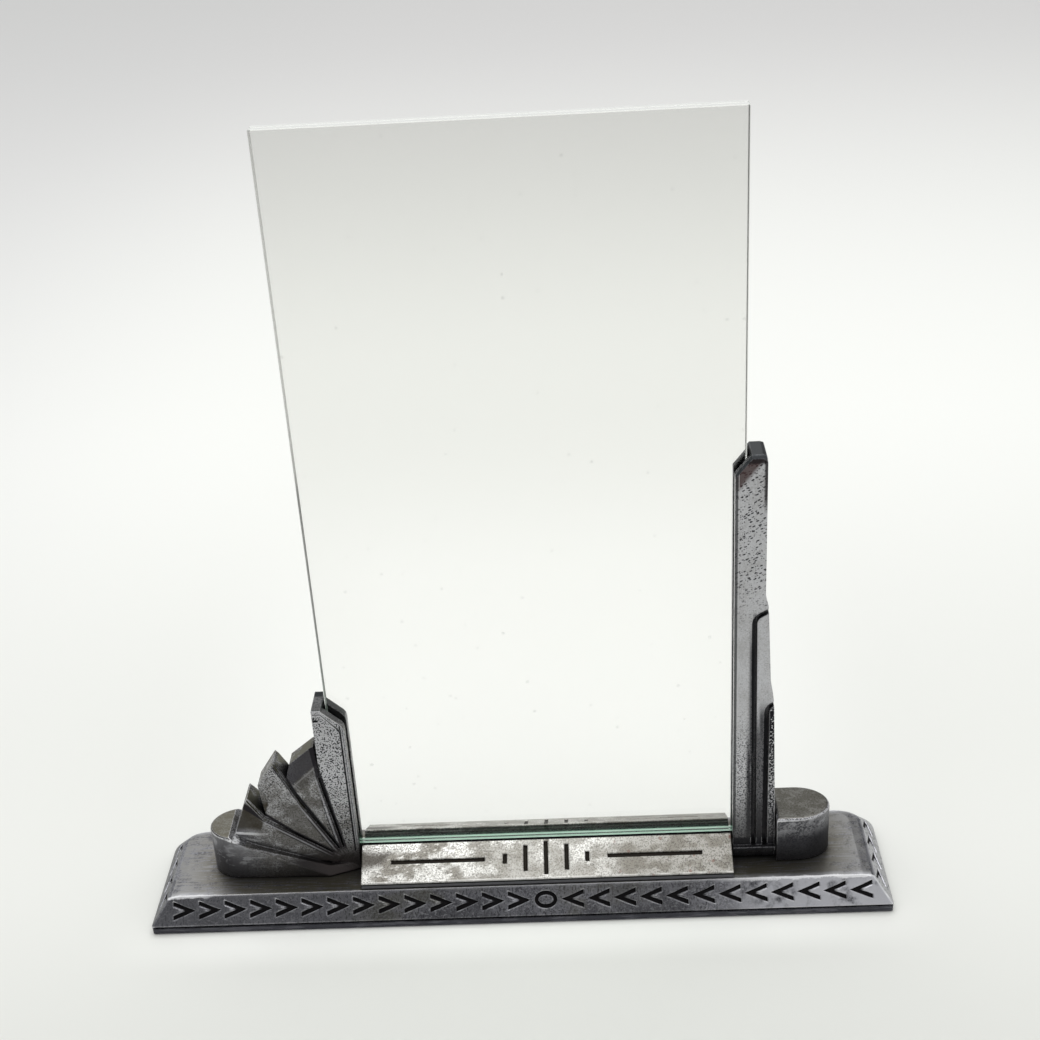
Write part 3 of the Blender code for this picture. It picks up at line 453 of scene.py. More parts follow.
plinth = CastMetal("plinth_gunmetal", GUNMETAL, GUNMETAL_TARNISH, 1.0, 0.49)
past_side = abs(plinth.y) - (HALF_DEPTH - SLOPE_RUN)
past_end = abs(plinth.x) - (HALF_LENGTH - SLOPE_RUN)
past = past_side.larger(past_end)
spread = (TOP_Z - plinth.z) * (SLOPE_RUN / (TOP_Z - FOOT_Z))
corner_radius = plinth.y.above(-1.0, 1.0) * (REAR_RADIUS - FRONT_RADIUS) + FRONT_RADIUS
beyond_end = (past_end - spread + corner_radius).larger(0.0)
beyond_side = (past_side - spread + corner_radius).larger(0.0)
squared = beyond_end * beyond_end + beyond_side * beyond_side
depth = (corner_radius - squared.root()) * ACROSS_SLOPE
on_slope = past.above(0.05, 0.30) * plinth.z.above(FOOT_Z - 0.1, FOOT_Z + 0.1)
on_slope = on_slope * depth.above(SKIN_DEPTH, SKIN_DEPTH - 0.3)
on_end = abs(plinth.side).above(0.4, 0.6)
right_end = on_end * plinth.x.above(-1.0, 1.0)
level_top = plinth.top.above(0.90, 0.98) * plinth.z.above(TOP_Z - 1.2, TOP_Z - 1.0)
ends = abs(plinth.x).above(62.0, 96.0)
print("plinth: slopes run from", FOOT_Z, "to", round(TOP_Z, 2), "mm")

# %% [markdown]
# Old metal is never one colour. Three noises of different grain, one of them drawn out along the
# plinth like the strokes of a cloth, break up each film. The right end of the slopes is painted light
# and the left end painted shade.

# %% Plinth: films on the slopes
DULL_PATCH = Film((0.10, 0.10, 0.11), 0.45, 0.6)
PAINTED_LIGHT_END = Film((0.50, 0.50, 0.52), 0.36, 0.75)
PAINTED_SHADE_END = Film((0.13, 0.13, 0.135), 0.45, 0.7)
SCUFF = Film((0.04, 0.04, 0.045), 0.5, 0.7)
GLINT = Film((0.55, 0.55, 0.58), 0.36, 0.45)
OLIVE_HAZE = Film((0.13, 0.125, 0.09), 0.45, 0.5)

mottle = noise(plinth.place, 3.0, 4.0, 14.0)
clouds = noise(plinth.place, 11.0, 4.0, 16.0, (1.6, 1.0, 1.0))
strokes = noise(plinth.place, 0.8, 3.0, 18.0, (9.0, 0.8, 1.0))
plinth.stain(on_slope * clouds.above(0.50, 0.40), DULL_PATCH)
# Painted light on the right end slope and painted shade on the left end slope
plinth.stain(on_slope * right_end, PAINTED_LIGHT_END)
plinth.stain(on_slope * (on_end - right_end), PAINTED_SHADE_END)
scuffs = noise(plinth.place, 0.9, 3.0, 15.0, (0.5, 1.0, 1.6)).above(0.46, 0.36)
plinth.stain(scuffs * on_slope, SCUFF)
glints = noise(plinth.place, 0.6, 3.0, 19.0, (1.6, 1.0, 1.0)).above(0.56, 0.66)
plinth.stain(glints * on_slope * (1.0 - on_end), GLINT)
near_middle = band(abs(plinth.x), 12.0, 46.0, 12.0)
plinth.stain(on_slope * (1.0 - on_end) * near_middle * clouds.above(0.46, 0.60), OLIVE_HAZE)
plinth.report()

# %% [markdown]
# Dust and polish gather where a cloth doesn't reach, so the film on the top is thickest round the
# feet of the other castings. Ambient Occlusion finds those places when it may see other pieces. Right
# at the feet it also lays dark dirt with painted contact shade, and the right end of the top carries
# a painted sheen over its wear.

# %% Plinth: films on the flat top
WORN_GREY = Film((0.42, 0.42, 0.435), 0.36)
OLIVE_FILM = Film((0.205, 0.190, 0.150), 0.42)
SHEEN_AND_WEAR_END = Film((0.52, 0.52, 0.54), 0.36, 0.5)
BROWN_BAND = Film((0.16, 0.155, 0.14), 0.42, 0.35)
OLIVE_RING = Film((0.165, 0.150, 0.112), 0.42, 0.7)
DIRT_AND_CONTACT_SHADE = Film((0.058, 0.055, 0.055), 0.5, 0.82)
RING_REACH, CONTACT_REACH = 0.020, 0.008

plinth.stain(level_top * ends * (mottle * 0.5 + strokes * 0.5).above(0.40, 0.54), WORN_GREY)
wiped = (mottle * 0.35 + strokes * 0.40 + clouds * 0.25).above(0.36, 0.58)
plinth.stain(level_top * (0.95 - ends * 0.6) * wiped, OLIVE_FILM)
worn = (mottle * 0.5 + plinth.grain * 0.5).above(0.42, 0.54)
# Painted sheen with wear at the right end of the top
plinth.stain(level_top * plinth.x.above(84.0, 97.0) * worn, SHEEN_AND_WEAR_END)
plinth.stain(level_top * band(plinth.x, 76.0, 95.0, 5.0), BROWN_BAND)
ring = closed_in(plinth.place, RING_REACH, own=False).above(0.04, 0.30) * level_top
plinth.stain(ring * strokes.above(0.36, 0.56), OLIVE_RING)
# Dark dirt with painted contact shade right round the feet of the other castings
dirt_and_contact_shade = closed_in(plinth.place, CONTACT_REACH, own=False).above(0.18, 0.62) * level_top
plinth.stain(dirt_and_contact_shade, DIRT_AND_CONTACT_SHADE)
plinth.report()

# %% [markdown]
# The front slope carries a painted sheen towards its right end, and two strips near the ends of the
# top's front edge a painted sheen over rubbed wear. The chevrons come after that, because their black
# dirt lies over it all; their lower lips get painted highlights where the rounded edge faces up. Last
# comes the thin dark line between slope and foot, a painted shadow under the slope's edge.

# %% Plinth: painted sheen, chevrons, lip highlights and foot
PAINTED_SHEEN_SLOPE = Film((0.60, 0.60, 0.64), 0.36, 0.9)
DIM_STRETCH = Film((0.09, 0.09, 0.095), 0.42, 0.4)
PALE_LEFT = Film((0.42, 0.42, 0.45), 0.4, 0.22)
WEAR_AND_SHEEN_STRIP = Film((0.60, 0.60, 0.63), 0.45)
CHEVRON_BLACK = Film((0.016, 0.015, 0.016), 0.60)
FOOT_DARK = Film((0.046, 0.046, 0.056), 0.42, 0.95)
FOOT_STROKE = Film((0.17, 0.17, 0.19), 0.36, 0.4)

wear_and_highlight = noise(plinth.place, 6.0, 4.0, 12.0, (1.5, 1.0, 1.0)).above(0.42, 0.58)
right_front = on_slope * (1.0 - on_end) * plinth.x.above(50.0, 72.0)
# Painted sheen on the front slope towards its right end
plinth.stain(right_front * (mottle * 0.5 + clouds * 0.5).above(0.36, 0.52), PAINTED_SHEEN_SLOPE)
plinth.stain(on_slope * (1.0 - on_end) * band(plinth.x, 24.0, 50.0, 6.0), DIM_STRETCH)
plinth.stain(on_slope * (1.0 - on_end) * plinth.x.above(-45.0, -70.0), PALE_LEFT)
# Painted sheen over rubbed wear on two strips of the top's front edge
outer_strips = plinth.x.above(46.0, 62.0) + plinth.x.above(-80.0, -92.0)
front_strip = level_top * outer_strips * past_side.above(-2.2, -0.4)
plinth.stain(front_strip * (0.45 + wear_and_highlight * 0.5), WEAR_AND_SHEEN_STRIP)

ragged = depth + (plinth.grain - 0.5) * 0.25
incised = ragged.above(0.16, 0.40) * on_slope
plinth.stain(incised, CHEVRON_BLACK)
# Painted highlights on the chevrons' lower lips, where the rounded edge faces up
lip = plinth.upward * on_slope * depth.above(0.30, 0.10) * (1.0 - on_end * 0.85)
plinth.wear_and_highlight(lip * mottle.above(0.40, 0.56) * (0.45 + plinth.x.above(0.0, 60.0) * 0.35), 0.70)
foot = band(plinth.z, 0.0, FOOT_Z - 0.75, 0.1)
plinth.stain(foot, FOOT_DARK)
plinth.stain(foot * strokes.above(0.50, 0.62), FOOT_STROKE)
# A painted shadow line under the slope's overhang, just above the foot
overhang_shadow_line = band(plinth.z, FOOT_Z - 0.8, FOOT_Z, 0.08)
plinth.dirt_and_shade(overhang_shadow_line * abs(plinth.top).above(0.7, 0.5))
plinth.report()

# %% [markdown]
# The last layer is the brightest: rubbed wear on the rim round the top and the corners of the slopes,
# and painted highlights on the right-hand corners and in a jagged line along the front edge that is
# strongest near both ends.

# %% Plinth: rubbed edges and painted highlights
near_rim = band(plinth.z, TOP_Z - 1.3, TOP_Z, 0.2)
worn_rim = near_rim * (0.34 + wear_and_highlight * 0.45 + ends * (0.7 + wear_and_highlight * 0.5))
to_corner = past_side - past_end
worn_corner = band(to_corner, -0.9, 0.9, 0.3) * on_slope * 0.8
# Painted highlight in a jagged line along the front edge, strongest near both ends
jagged = past_side + (mottle - 0.5) * 1.2 + (plinth.grain - 0.5) * 0.6
near_ends = 0.10 + plinth.x.above(50.0, 74.0) * 0.75 + plinth.x.above(-82.0, -92.0) * 0.75
front_highlight = band(jagged, -0.36, 0.36, 0.16) * plinth.z.above(TOP_Z - 1.0, TOP_Z - 0.7)
front_highlight = front_highlight * near_ends
# Painted highlight on the slope corners, towards the right
corner_highlight = band(to_corner, -0.42, 0.42, 0.16) * on_slope * plinth.x.above(0.0, 60.0)
corner_highlight = corner_highlight * (0.35 + wear_and_highlight * 0.5)
rubbed = plinth.edge * worn_rim.larger(worn_corner).smaller(1.0)
plinth.wear_and_highlight(rubbed * (1.0 - incised) * (1.0 - on_end * 0.6))
plinth.wear_and_highlight(front_highlight.larger(corner_highlight) * (1.0 - incised))
plinth.cover(["plinth"])

# %% [markdown]
# The fan and the tower are lighter. Their faces are full of small black pits, their facets that lean
# back to the tips of the rays get painted shade, dark and brown, and their low flat tops carry the
# olive film. The glass channels inside them are painted black, as shade deep in a slot.

# %% Recipe for both brackets
low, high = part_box("front_glass")
GLASS_LEFT, GLASS_RIGHT = MILLIMETRES * low.x, MILLIMETRES * high.x
SLOT_FLOOR_Z = 15.9
CHANNEL_HALF_WIDTH, CHANNEL_SPARE = 2.4, 0.9

BOSS_SIDE = Film((0.115, 0.115, 0.125), 0.42, 0.75)
BOSS_WORN = Film((0.34, 0.34, 0.36), 0.36, 0.65)
BOSS_FOOT_SHADE = Film((0.032, 0.031, 0.037), 0.45)
BOSS_OLIVE = Film((0.118, 0.111, 0.088), 0.42, 0.9)
BOSS_RUBBED_TOP = Film((0.30, 0.295, 0.28), 0.38, 0.5)
RUBBED_EDGE = Film((0.56, 0.56, 0.59), 0.27, 0.5)


def bracket_metal(name, bare, tarnish, seed, bias):
    """Grey casting, and the mask of the fine salt-and-pepper on its faces."""
    metal = CastMetal(name, bare, tarnish, seed, bias)
    metal.pepper = noise(metal.place, 0.42, 1.5, seed + 7.0).above(0.49, 0.41)
    return metal


def worn_and_lit_boss(metal, top_z, inner_x, outward, shade, light, soft=0.4):
    """Olive film on a low boss, a painted highlight on its rim, and painted shade that deepens to its
    foot.

    The boss reaches from `inner_x` to the left if `outward` is -1 and to the right if it is 1.
    """
    out, inner = metal.x * outward, inner_x * outward
    own = out.above(inner - soft, inner)
    flank = own * metal.top.above(0.5, 0.2)
    patchy = noise(metal.place, 2.5, 4.0, 41.0, (1.6, 1.0, 0.8))
    metal.stain(flank, BOSS_SIDE.lit(light))
    metal.stain(flank * patchy.above(0.50, 0.64) * metal.z.above(top_z - 9.0, top_z - 3.0), BOSS_WORN)
    # Painted shade that deepens towards the boss's foot
    to_foot = metal.z.above(top_z - 2.5, top_z - 8.0)
    metal.stain(flank * to_foot * shade, BOSS_FOOT_SHADE.lit(light))
    film = metal.top.above(0.90, 0.98) * metal.z.above(top_z - 3.6, top_z - 3.3) * own
    metal.stain(film, BOSS_OLIVE.lit(light))
    metal.stain(film * (patchy * 0.5 + metal.grain * 0.5).above(0.47, 0.60), BOSS_RUBBED_TOP)
    # Painted highlights on the rim and just under the top edge, strongest at the outer end
    rim = metal.edge * metal.z.above(top_z - 1.4, top_z - 1.0) * own
    nearer = out.above(inner + 11.0, inner + 3.0)
    lip = flank * band(metal.z, top_z - 0.75, top_z + 0.10, 0.15) * (0.25 + nearer * 0.75)
    metal.wear_and_highlight(rim.larger(lip) * patchy.above(0.32, 0.44) * 0.85)


def finish_bracket(metal, names, sheltered, glints_and_polish):
    """Dirt and painted shade in grooves and channel, rubbed edges, then painted glints and polish on
    top.
    """
    # Black in the hollows: dirt with painted shade
    metal.dirt_and_shade(metal.hollow)
    # Painted shade, black, in the glass channel
    channel = abs(metal.y).above(CHANNEL_HALF_WIDTH + 0.2, CHANNEL_HALF_WIDTH)
    channel = channel * metal.z.above(SLOT_FLOOR_Z - 0.3, SLOT_FLOOR_Z)
    inside = band(metal.x, GLASS_LEFT - CHANNEL_SPARE, GLASS_RIGHT + CHANNEL_SPARE, 0.1)
    metal.dirt_and_shade(channel * inside, 0.008)
    rubbed = metal.edge * (1.0 - metal.hollow) * metal.grain.above(0.38, 0.60) * (1.0 - sheltered)
    metal.stain(rubbed, RUBBED_EDGE)
    # Painted glints and polish on the chosen edges
    metal.wear_and_highlight(metal.edge * glints_and_polish)
    metal.cover(names)


print("panes stand from x =", round(GLASS_LEFT, 1), "to", round(GLASS_RIGHT, 1), "mm")

# %% [markdown]
# The fan is three rays over a lobe, beside an upright that holds the glass. The rays spread from a
# hub, so a distance from the hub tells root from tip, and x alone tells the upright from the rays.

# %% Fan: find its parts
HUB = (-48.6, 12.0)
UPRIGHT_LEFT, UPRIGHT_RIGHT = -53.4, -45.0
LOBE_TOP_Z, LOBE_INNER_X = 23.5, -80.0
FAN_GREY, FAN_TARNISH = (0.42, 0.42, 0.435), (0.165, 0.158, 0.15)

fan = bracket_metal("fan_metal", FAN_GREY, FAN_TARNISH, 2.0, 0.50)
hub_x, hub_z = fan.x - HUB[0], fan.z - HUB[1]
reach = (hub_x * hub_x + hub_z * hub_z).root()
upright = fan.x.above(UPRIGHT_LEFT - 0.2, UPRIGHT_LEFT + 0.1)
rays = 1.0 - upright
front = abs(fan.face).above(0.70, 0.90)
middle_tip = band(fan.x, -69.0, -60.5, 1.0) * fan.z.above(36.0, 44.0)
mottle = noise(fan.place, 4.5, 5.0, 21.0)
print("fan: hub at", HUB, "mm")

# %% [markdown]
# The upright and the tip of the middle ray are handled and light. The rest of the rays is grimy, most
# of all near the hub, with painted shade on facets that lean back, and the lobe below has the olive
# top, painted rim highlight and painted shade towards the foot of every boss.

# %% Fan: films
UPRIGHT_LIGHT = Film((0.55, 0.55, 0.58), 0.34, 0.8)
TIP_LIGHT = Film((0.56, 0.56, 0.59), 0.36, 0.6)
PEPPER = Film((0.02, 0.02, 0.022), 0.55)
UPRIGHT_LOW = Film((0.07, 0.07, 0.072), 0.45, 0.45)
GRIME = Film((0.100, 0.094, 0.086), 0.45, 0.72)
LEANING_FACET_SHADE = Film((0.08, 0.076, 0.076), 0.42, 0.45)
LOW_RAYS = LEANING_FACET_SHADE._replace(share=0.22)
TIP_PEPPER = Film((0.03, 0.03, 0.033), 0.55, 0.6)
SHOULDER_OLIVE = Film((0.115, 0.110, 0.075), 0.42, 0.85)
FLANK_DARK = Film((0.07, 0.066, 0.068), 0.45, 0.3)
FLANK_STREAK = Film((0.36, 0.36, 0.38), 0.4, 0.7)
SEAT_DARK = Film((0.034, 0.031, 0.032), 0.5)

fan.stain(upright * front * fan.z.above(24.0, 42.0), UPRIGHT_LIGHT)
fan.stain(middle_tip * front, TIP_LIGHT)
fan.stain(fan.pepper * (0.66 + upright * 0.28), PEPPER)
fan.stain(upright * fan.z.above(34.0, 18.0), UPRIGHT_LOW)
grimy = (mottle + reach.above(30.0, 8.0) * 0.14).above(0.44, 0.60)
fan.stain(rays * (1.0 - middle_tip * 0.7) * grimy, GRIME)
# Painted shade on facets that lean back, as they mirror the dark room
fan.stain(rays * band(abs(fan.face), 0.5, 0.975, 0.004) * fan.z.above(16.0, 18.0), LEANING_FACET_SHADE)
fan.stain(rays * front * fan.z.above(40.0, 30.0), LOW_RAYS)
fan.stain(middle_tip * front * fan.pepper, TIP_PEPPER)
shoulder = rays * band(fan.top, 0.30, 0.90, 0.1) * fan.z.above(24.5, 26.0)
fan.stain(shoulder * mottle.above(0.42, 0.55), SHOULDER_OLIVE)
worn_and_lit_boss(fan, LOBE_TOP_Z, LOBE_INNER_X, outward=-1.0, shade=0.5, light=1.45, soft=12.0)
low_flank = rays * fan.z.above(22.0, 14.0) * abs(fan.face).above(0.3, 0.5)
fan.stain(low_flank * mottle.above(0.60, 0.45), FLANK_DARK)
streaks = noise(fan.place, 1.0, 3.0, 47.0, (4.0, 1.0, 1.0)).above(0.54, 0.64)
streaks = streaks * band(fan.z, 14.0, 21.0, 2.0)
fan.stain(low_flank * streaks, FLANK_STREAK)
# Darker low down at the seat, more on faces that look up
seat = fan.z.above(17.0, 14.0) * fan.x.above(-74.0, -60.0)
fan.stain(seat * (0.66 + fan.top.above(0.40, 0.60) * 0.30), SEAT_DARK)
fan.report()

# %% [markdown]
# Two of the rays carry a facet in painted shade, one slate and one umber, with a painted highlight as
# a light step along its edge. The edges are straight, so each is found as a distance from a line
# through two points.

# %% Fan: facets
# The upper edge of each ray, from root to knee, as (angle in degrees, distance in mm) from the hub
RAY_EDGES = (((95.0, 2.6), (99.3, 30.4)), ((104.0, 2.6), (116.7, 24.0)), ((126.0, 2.6), (142.8, 27.7)))
SLATE_EDGE = ((-58.6, 41.9), (-51.0, 48.7))
UMBER_EDGE = ((-71.6, 25.6), (-68.9, 33.6))
SLATE_SHADE = Film((0.060, 0.058, 0.066), 0.42)
UMBER_SHADE = Film((0.046, 0.040, 0.030), 0.45)
STEP_HIGHLIGHT = Film((0.42, 0.42, 0.44), 0.35, 0.35)
FACET_SINK = 2.0


def from_hub(degrees, distance):
    """Point (x, z) in millimetres at an angle and a distance from the fan's hub."""
    angle = math.radians(degrees)
    return HUB[0] + distance * math.cos(angle), HUB[1] + distance * math.sin(angle)


def beside_line(metal, start, end):
    """How far along a line a point of the face lies and how far off it, to the left, in mm.

    Both are sums of the point's x and z, weighted by the line's direction (run, rise).
    """
    length = math.dist(start, end)
    run, rise = (end[0] - start[0]) / length, (end[1] - start[1]) / length
    from_x, from_z = metal.x - start[0], metal.z - start[1]
    return from_x * run + from_z * rise, from_z * run - from_x * rise


flat_face = abs(fan.face).above(0.93, 0.955) * rays
middle_edge = [from_hub(*point) for point in RAY_EDGES[1]]
_, past_ray = beside_line(fan, *middle_edge)
upper_ray = flat_face * past_ray.above(-0.6, -1.1)
_, off = beside_line(fan, *SLATE_EDGE)
# Painted shade on the leaning slate facet
slate_shade = off.above(-0.3, 0.3) * upper_ray
fan.stain(slate_shade * (1.15 - mottle * 0.6), SLATE_SHADE)
slate_step = band(off, -0.70, -0.35, 0.2) * upper_ray
_, off = beside_line(fan, *UMBER_EDGE)
# Painted shade on the leaning umber facet
umber_shade = off.above(-0.25, 0.25) * band(fan.z, 24.6, 33.5, 1.2) * flat_face
fan.stain(umber_shade * (1.15 - mottle * 0.6), UMBER_SHADE)
umber_step = band(off, -0.65, -0.30, 0.2) * band(fan.z, 25.5, 33.0, 1.0) * flat_face
# Painted highlights on the steps along both facets
fan.stain(slate_step.larger(umber_step), STEP_HIGHLIGHT)
fan.bump = fan.bump - slate_shade * FACET_SINK - umber_shade * FACET_SINK
fan.report()

# %% [markdown]
# Each ray has a groove over its upper edge, painted black as shade, and beside it a thin cord with a
# painted highlight and its own painted shadow line. They run out from the hub, so each is a band
# beside the same straight edge.

# %% Fan: cords and grooves
CORD_HIGHLIGHT = Film((0.36, 0.36, 0.40), 0.35, 0.55)
CORD_SHADOW = Film((0.02, 0.02, 0.024), 0.5, 0.8)
VALLEY_SHADE = Film((0.022, 0.020, 0.024), 0.5, 0.92)
HUB_DIRT_AND_SHADE = Film((0.060, 0.051, 0.050), 0.5, 0.72)

valley_shades = None
for start, end in RAY_EDGES:
    along, off = beside_line(fan, from_hub(*start), from_hub(*end))
    length = end[1] - start[1]
    # Painted highlight on the cord and a painted shadow line beside it
    cord = band(off, 1.05, 1.40, 0.15) * band(along, 3.0, length, 1.5) * front
    fan.stain(cord, CORD_HIGHLIGHT)
    thin = band(off, 1.55, 1.85, 0.15) * band(along, 3.0, length * 0.75, 2.0) * front
    fan.stain(thin, CORD_SHADOW)
    # Painted shade, black, in the groove along the ray's upper edge
    one_valley_shade = band(off, -0.85, 0.95, 0.2) * band(along, 2.0, length + 14.0, 1.0) * front
    valley_shades = one_valley_shade if valley_shades is None else valley_shades.larger(one_valley_shade)
fan.stain(valley_shades, VALLEY_SHADE)
# Dirt and painted shade on the faces round the hub
hub_dirt_and_shade = reach.above(13.0, 3.0) * fan.z.above(21.0, 13.0)
fan.stain(hub_dirt_and_shade, HUB_DIRT_AND_SHADE)
print("fan: grooves over", len(RAY_EDGES), "rays")

# %% [markdown]
# The upright has a thin raised rim along the glass, with a painted highlight and two painted shadow
# lines beside it, a nick near its top, a tarnished cap and a nearly black flange behind. Then a few
# tips and edges get painted glints.

# %% Fan: upright and painted glints on the tips
RIM_HIGHLIGHT = Film((0.40, 0.40, 0.43), 0.3, 0.5)
CAP_TARNISH = Film((0.10, 0.102, 0.104), 0.42, 0.75)
FLANGE_BLACK = Film((0.02, 0.024, 0.026), 0.4, 0.9)
LOBE_GLINT = ((-83.0, 23.1), (-73.0, 20.5))

rim_gap = UPRIGHT_RIGHT - fan.x
# Painted highlight on the rim and two painted shadow lines beside it
rim_shade_lines = (band(rim_gap, 0.35, 0.50, 0.06) + band(rim_gap, 0.9, 1.3, 0.08)) * front
rim_shade_lines = rim_shade_lines * fan.z.above(17.0, 19.0)
fan.stain(band(rim_gap, 0.0, 0.9, 0.05) * front * fan.z.above(17.0, 22.0), RIM_HIGHLIGHT)
fan.dirt_and_shade(rim_shade_lines.smaller(1.0) * 0.9)
nick = band(fan.x, -53.6, -51.7, 0.25) * band(fan.z, 60.6, 61.3, 0.2) * front
fan.dirt_and_shade(nick)
fan.stain(upright * fan.z.above(57.0, 61.0) * abs(fan.face).above(0.97, 0.90), CAP_TARNISH)
fan.stain(fan.y.above(2.3, 2.5) * fan.top.above(0.25, 0.45) * upright, FLANGE_BLACK)

# Painted glints on the ray tips, the lobe's front edge and the upright's top
tips = band(fan.x, -65.4, -62.0, 0.4) * band(fan.z, 51.0, 54.5, 0.5)
tips = tips.larger(band(fan.x, -73.6, -70.6, 0.4) * band(fan.z, 40.0, 43.4, 0.5))
near_side = fan.y.above(-3.0, -5.0)
tips = tips.larger(fan.x.above(-67.0, -70.0) * band(fan.z, 22.0, 24.0, 0.2) * near_side)
tips = tips.larger(upright * fan.z.above(58.0, 60.0) * near_side)
# A painted glint along the lobe's top edge
along, off = beside_line(fan, *LOBE_GLINT)
glint = band(off, -0.35, 0.35, 0.15) * band(along, 1.0, 9.5, 1.2) * fan.y.above(-4.0, -5.5)
fan.wear_and_highlight(glint * fan.grain.above(0.36, 0.50) * 0.85)
sheltered = (valley_shades * 0.8).larger(hub_dirt_and_shade).larger(seat)
finish_bracket(fan, ["fan_bracket"], sheltered, tips * 0.85)

# %% [markdown]
# The tower's tall face is the lightest part of the brackets. Its pits all slant one way, and a
# red-brown stain with a dark border hangs from its chamfered top.

# %% Tower: pits and top
TOWER_GREY, TOWER_TARNISH = (0.57, 0.57, 0.60), (0.49, 0.485, 0.50)
TOWER_PEPPER = Film((0.03, 0.03, 0.034), 0.5)
RED_BROWN = Film((0.075, 0.045, 0.044), 0.45, 0.88)
BORDER_DARK = Film((0.022, 0.018, 0.02), 0.45, 0.9)
CROWN_BLACK = Film((0.020, 0.024, 0.027), 0.35, 0.92)
FLANGE_DARK = Film((0.055, 0.057, 0.06), 0.4, 0.85)
FLANGE_LINE = Film((0.55, 0.55, 0.57), 0.3, 0.6)
CHAMFER_RISE, CHAMFER_RUN = 5.3, 4.2
CHAMFER_LENGTH = 6.76

tower = bracket_metal("tower_metal", TOWER_GREY, TOWER_TARNISH, 3.0, 0.47)
low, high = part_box("tower_bracket")
LEFT, TOP = MILLIMETRES * low.x, MILLIMETRES * high.z
front = abs(tower.face).above(0.80, 0.95)
upper = tower.z.above(80.0, 105.0)
lower = tower.z.above(62.0, 40.0)
over_seat = tower.z.above(17.0, 20.0)
tower.stain(tower.pepper * (0.12 + lower * 0.62), TOWER_PEPPER)
dashes = pits(turned(tower.place, 28.0), 0.62, 0.50, 31.0, (1.9, 1.0, 0.9)) * upper
specks = pits(tower.place, 0.50, 0.30, 33.0) * (upper * 0.6 + lower + 0.25).smaller(1.0)
tower.dirt_and_shade((dashes * 0.9 + specks * 0.8).smaller(1.0) * front, 0.03)
off = (tower.x - LEFT) * CHAMFER_RISE - (tower.z - (TOP - CHAMFER_RISE)) * CHAMFER_RUN
off = off / CHAMFER_LENGTH
tower.stain(off.above(3.9, 2.4) * tower.z.above(TOP - 13.0, TOP - 8.0) * front, RED_BROWN)
right_border = tower.x.above(67.7, 68.3) * tower.z.above(118.0, 124.0)
border = (tower.z.above(TOP - 2.6, TOP - 1.7) + right_border).smaller(1.0)
tower.stain(border * front, BORDER_DARK)
tower.stain(tower.top.above(0.2, 0.4) * tower.z.above(TOP - 8.0, TOP - 7.0), CROWN_BLACK)
tower.stain(band(tower.x, LEFT, LEFT + 0.75, 0.06) * front * over_seat, FLANGE_DARK)
tower.stain(band(tower.x, LEFT + 0.85, LEFT + 1.05, 0.06) * front * over_seat, FLANGE_LINE)
print("tower: top at", round(TOP, 1), "mm")

# %% [markdown]
# Two grooves climb beside the tower's steps. They and the faces between them are painted nearly black
# low down, as shade, and so are the corners by the steps. The narrow third step is blotched. Below the
# ledge the tower is in painted shadow, with a painted highlight on the ledge's edge.

# %% Tower: steps, foot and boss
SHADED_BLACK = Film((0.018, 0.018, 0.022), 0.5)
BLOTCH_BLACK = Film((0.016, 0.016, 0.02), 0.5)
FOOT_SHADE = Film((0.05, 0.049, 0.052), 0.45, 0.78)
LEDGE_SHADOW = Film((0.035, 0.035, 0.04), 0.45, 0.85)
CORNER_REACH = 0.0020
BOSS_TOP_Z, BOSS_INNER_X = 24.0, 72.6

soft = noise(tower.place, 5.0, 3.0, 35.0, (0.5, 1.0, 3.0))
first = band(tower.x, 64.9, 66.6, 0.6).larger(band(tower.x, 64.3, 66.6, 0.6) * lower)
first = first * band(tower.z, 14.0, 83.0, 7.0) * soft.above(0.18, 0.40)
second = band(tower.x, 68.5, 70.3, 0.35) * band(tower.z, 16.0, 58.0, 3.0)
darker_down = tower.z.above(62.0, 50.0) * 0.82 + tower.z.above(32.0, 22.0) * 0.18
between = band(tower.x, 66.8, 69.3, 0.3) * darker_down
smear = band(tower.x, 67.6, 70.2, 0.5) * band(tower.z, 47.0, 60.0, 4.0) * soft.above(0.34, 0.48)
groove = band(tower.x, 65.6, 66.5, 0.2) * band(tower.z, 60.0, 89.0, 2.0)
shaded = (first * 0.92).larger(second * 0.95).larger(between * 0.9)
shaded = shaded.larger(smear * 0.85).larger(groove * 0.8)
tower.stain(shaded * front, SHADED_BLACK)
# Painted shade in the corners by the steps
step_corner_shade = closed_in(tower.place, CORNER_REACH).above(0.18, 0.48) * front
tower.dirt_and_shade(step_corner_shade * over_seat * 0.8, 0.016)
third = tower.x.above(70.2, 70.5) * band(tower.z, 16.0, 60.0, 1.0) * front
blotch = noise(tower.place, 0.6, 1.5, 37.0) - tower.z.above(34.0, 56.0) * 0.10
tower.stain(third * blotch.above(0.52, 0.46), BLOTCH_BLACK)
inside_boss = tower.x.above(72.4, 72.0)
tower.stain(tower.z.above(38.0, 16.0) * front * inside_boss, FOOT_SHADE)
worn_and_lit_boss(tower, BOSS_TOP_Z, BOSS_INNER_X, outward=1.0, shade=0.85, light=0.82)
# Painted shadow below the ledge, and a painted highlight on its edge
ledge = tower.z.above(16.2, 15.6) * inside_boss
tower.stain(ledge, LEDGE_SHADOW)
tower.wear_and_highlight(ledge * tower.edge * tower.z.above(13.5, 14.2) * 0.6)
finish_bracket(tower, ["tower_bracket"], 0.35, third * tower.z.above(50.0, 40.0) * 0.5)

# %% [markdown]
# The rail is the brightest piece. Sliding panes and cloths have kept it near white metal, with a
# sandy grain, brown stains and black marks cut into its slopes.

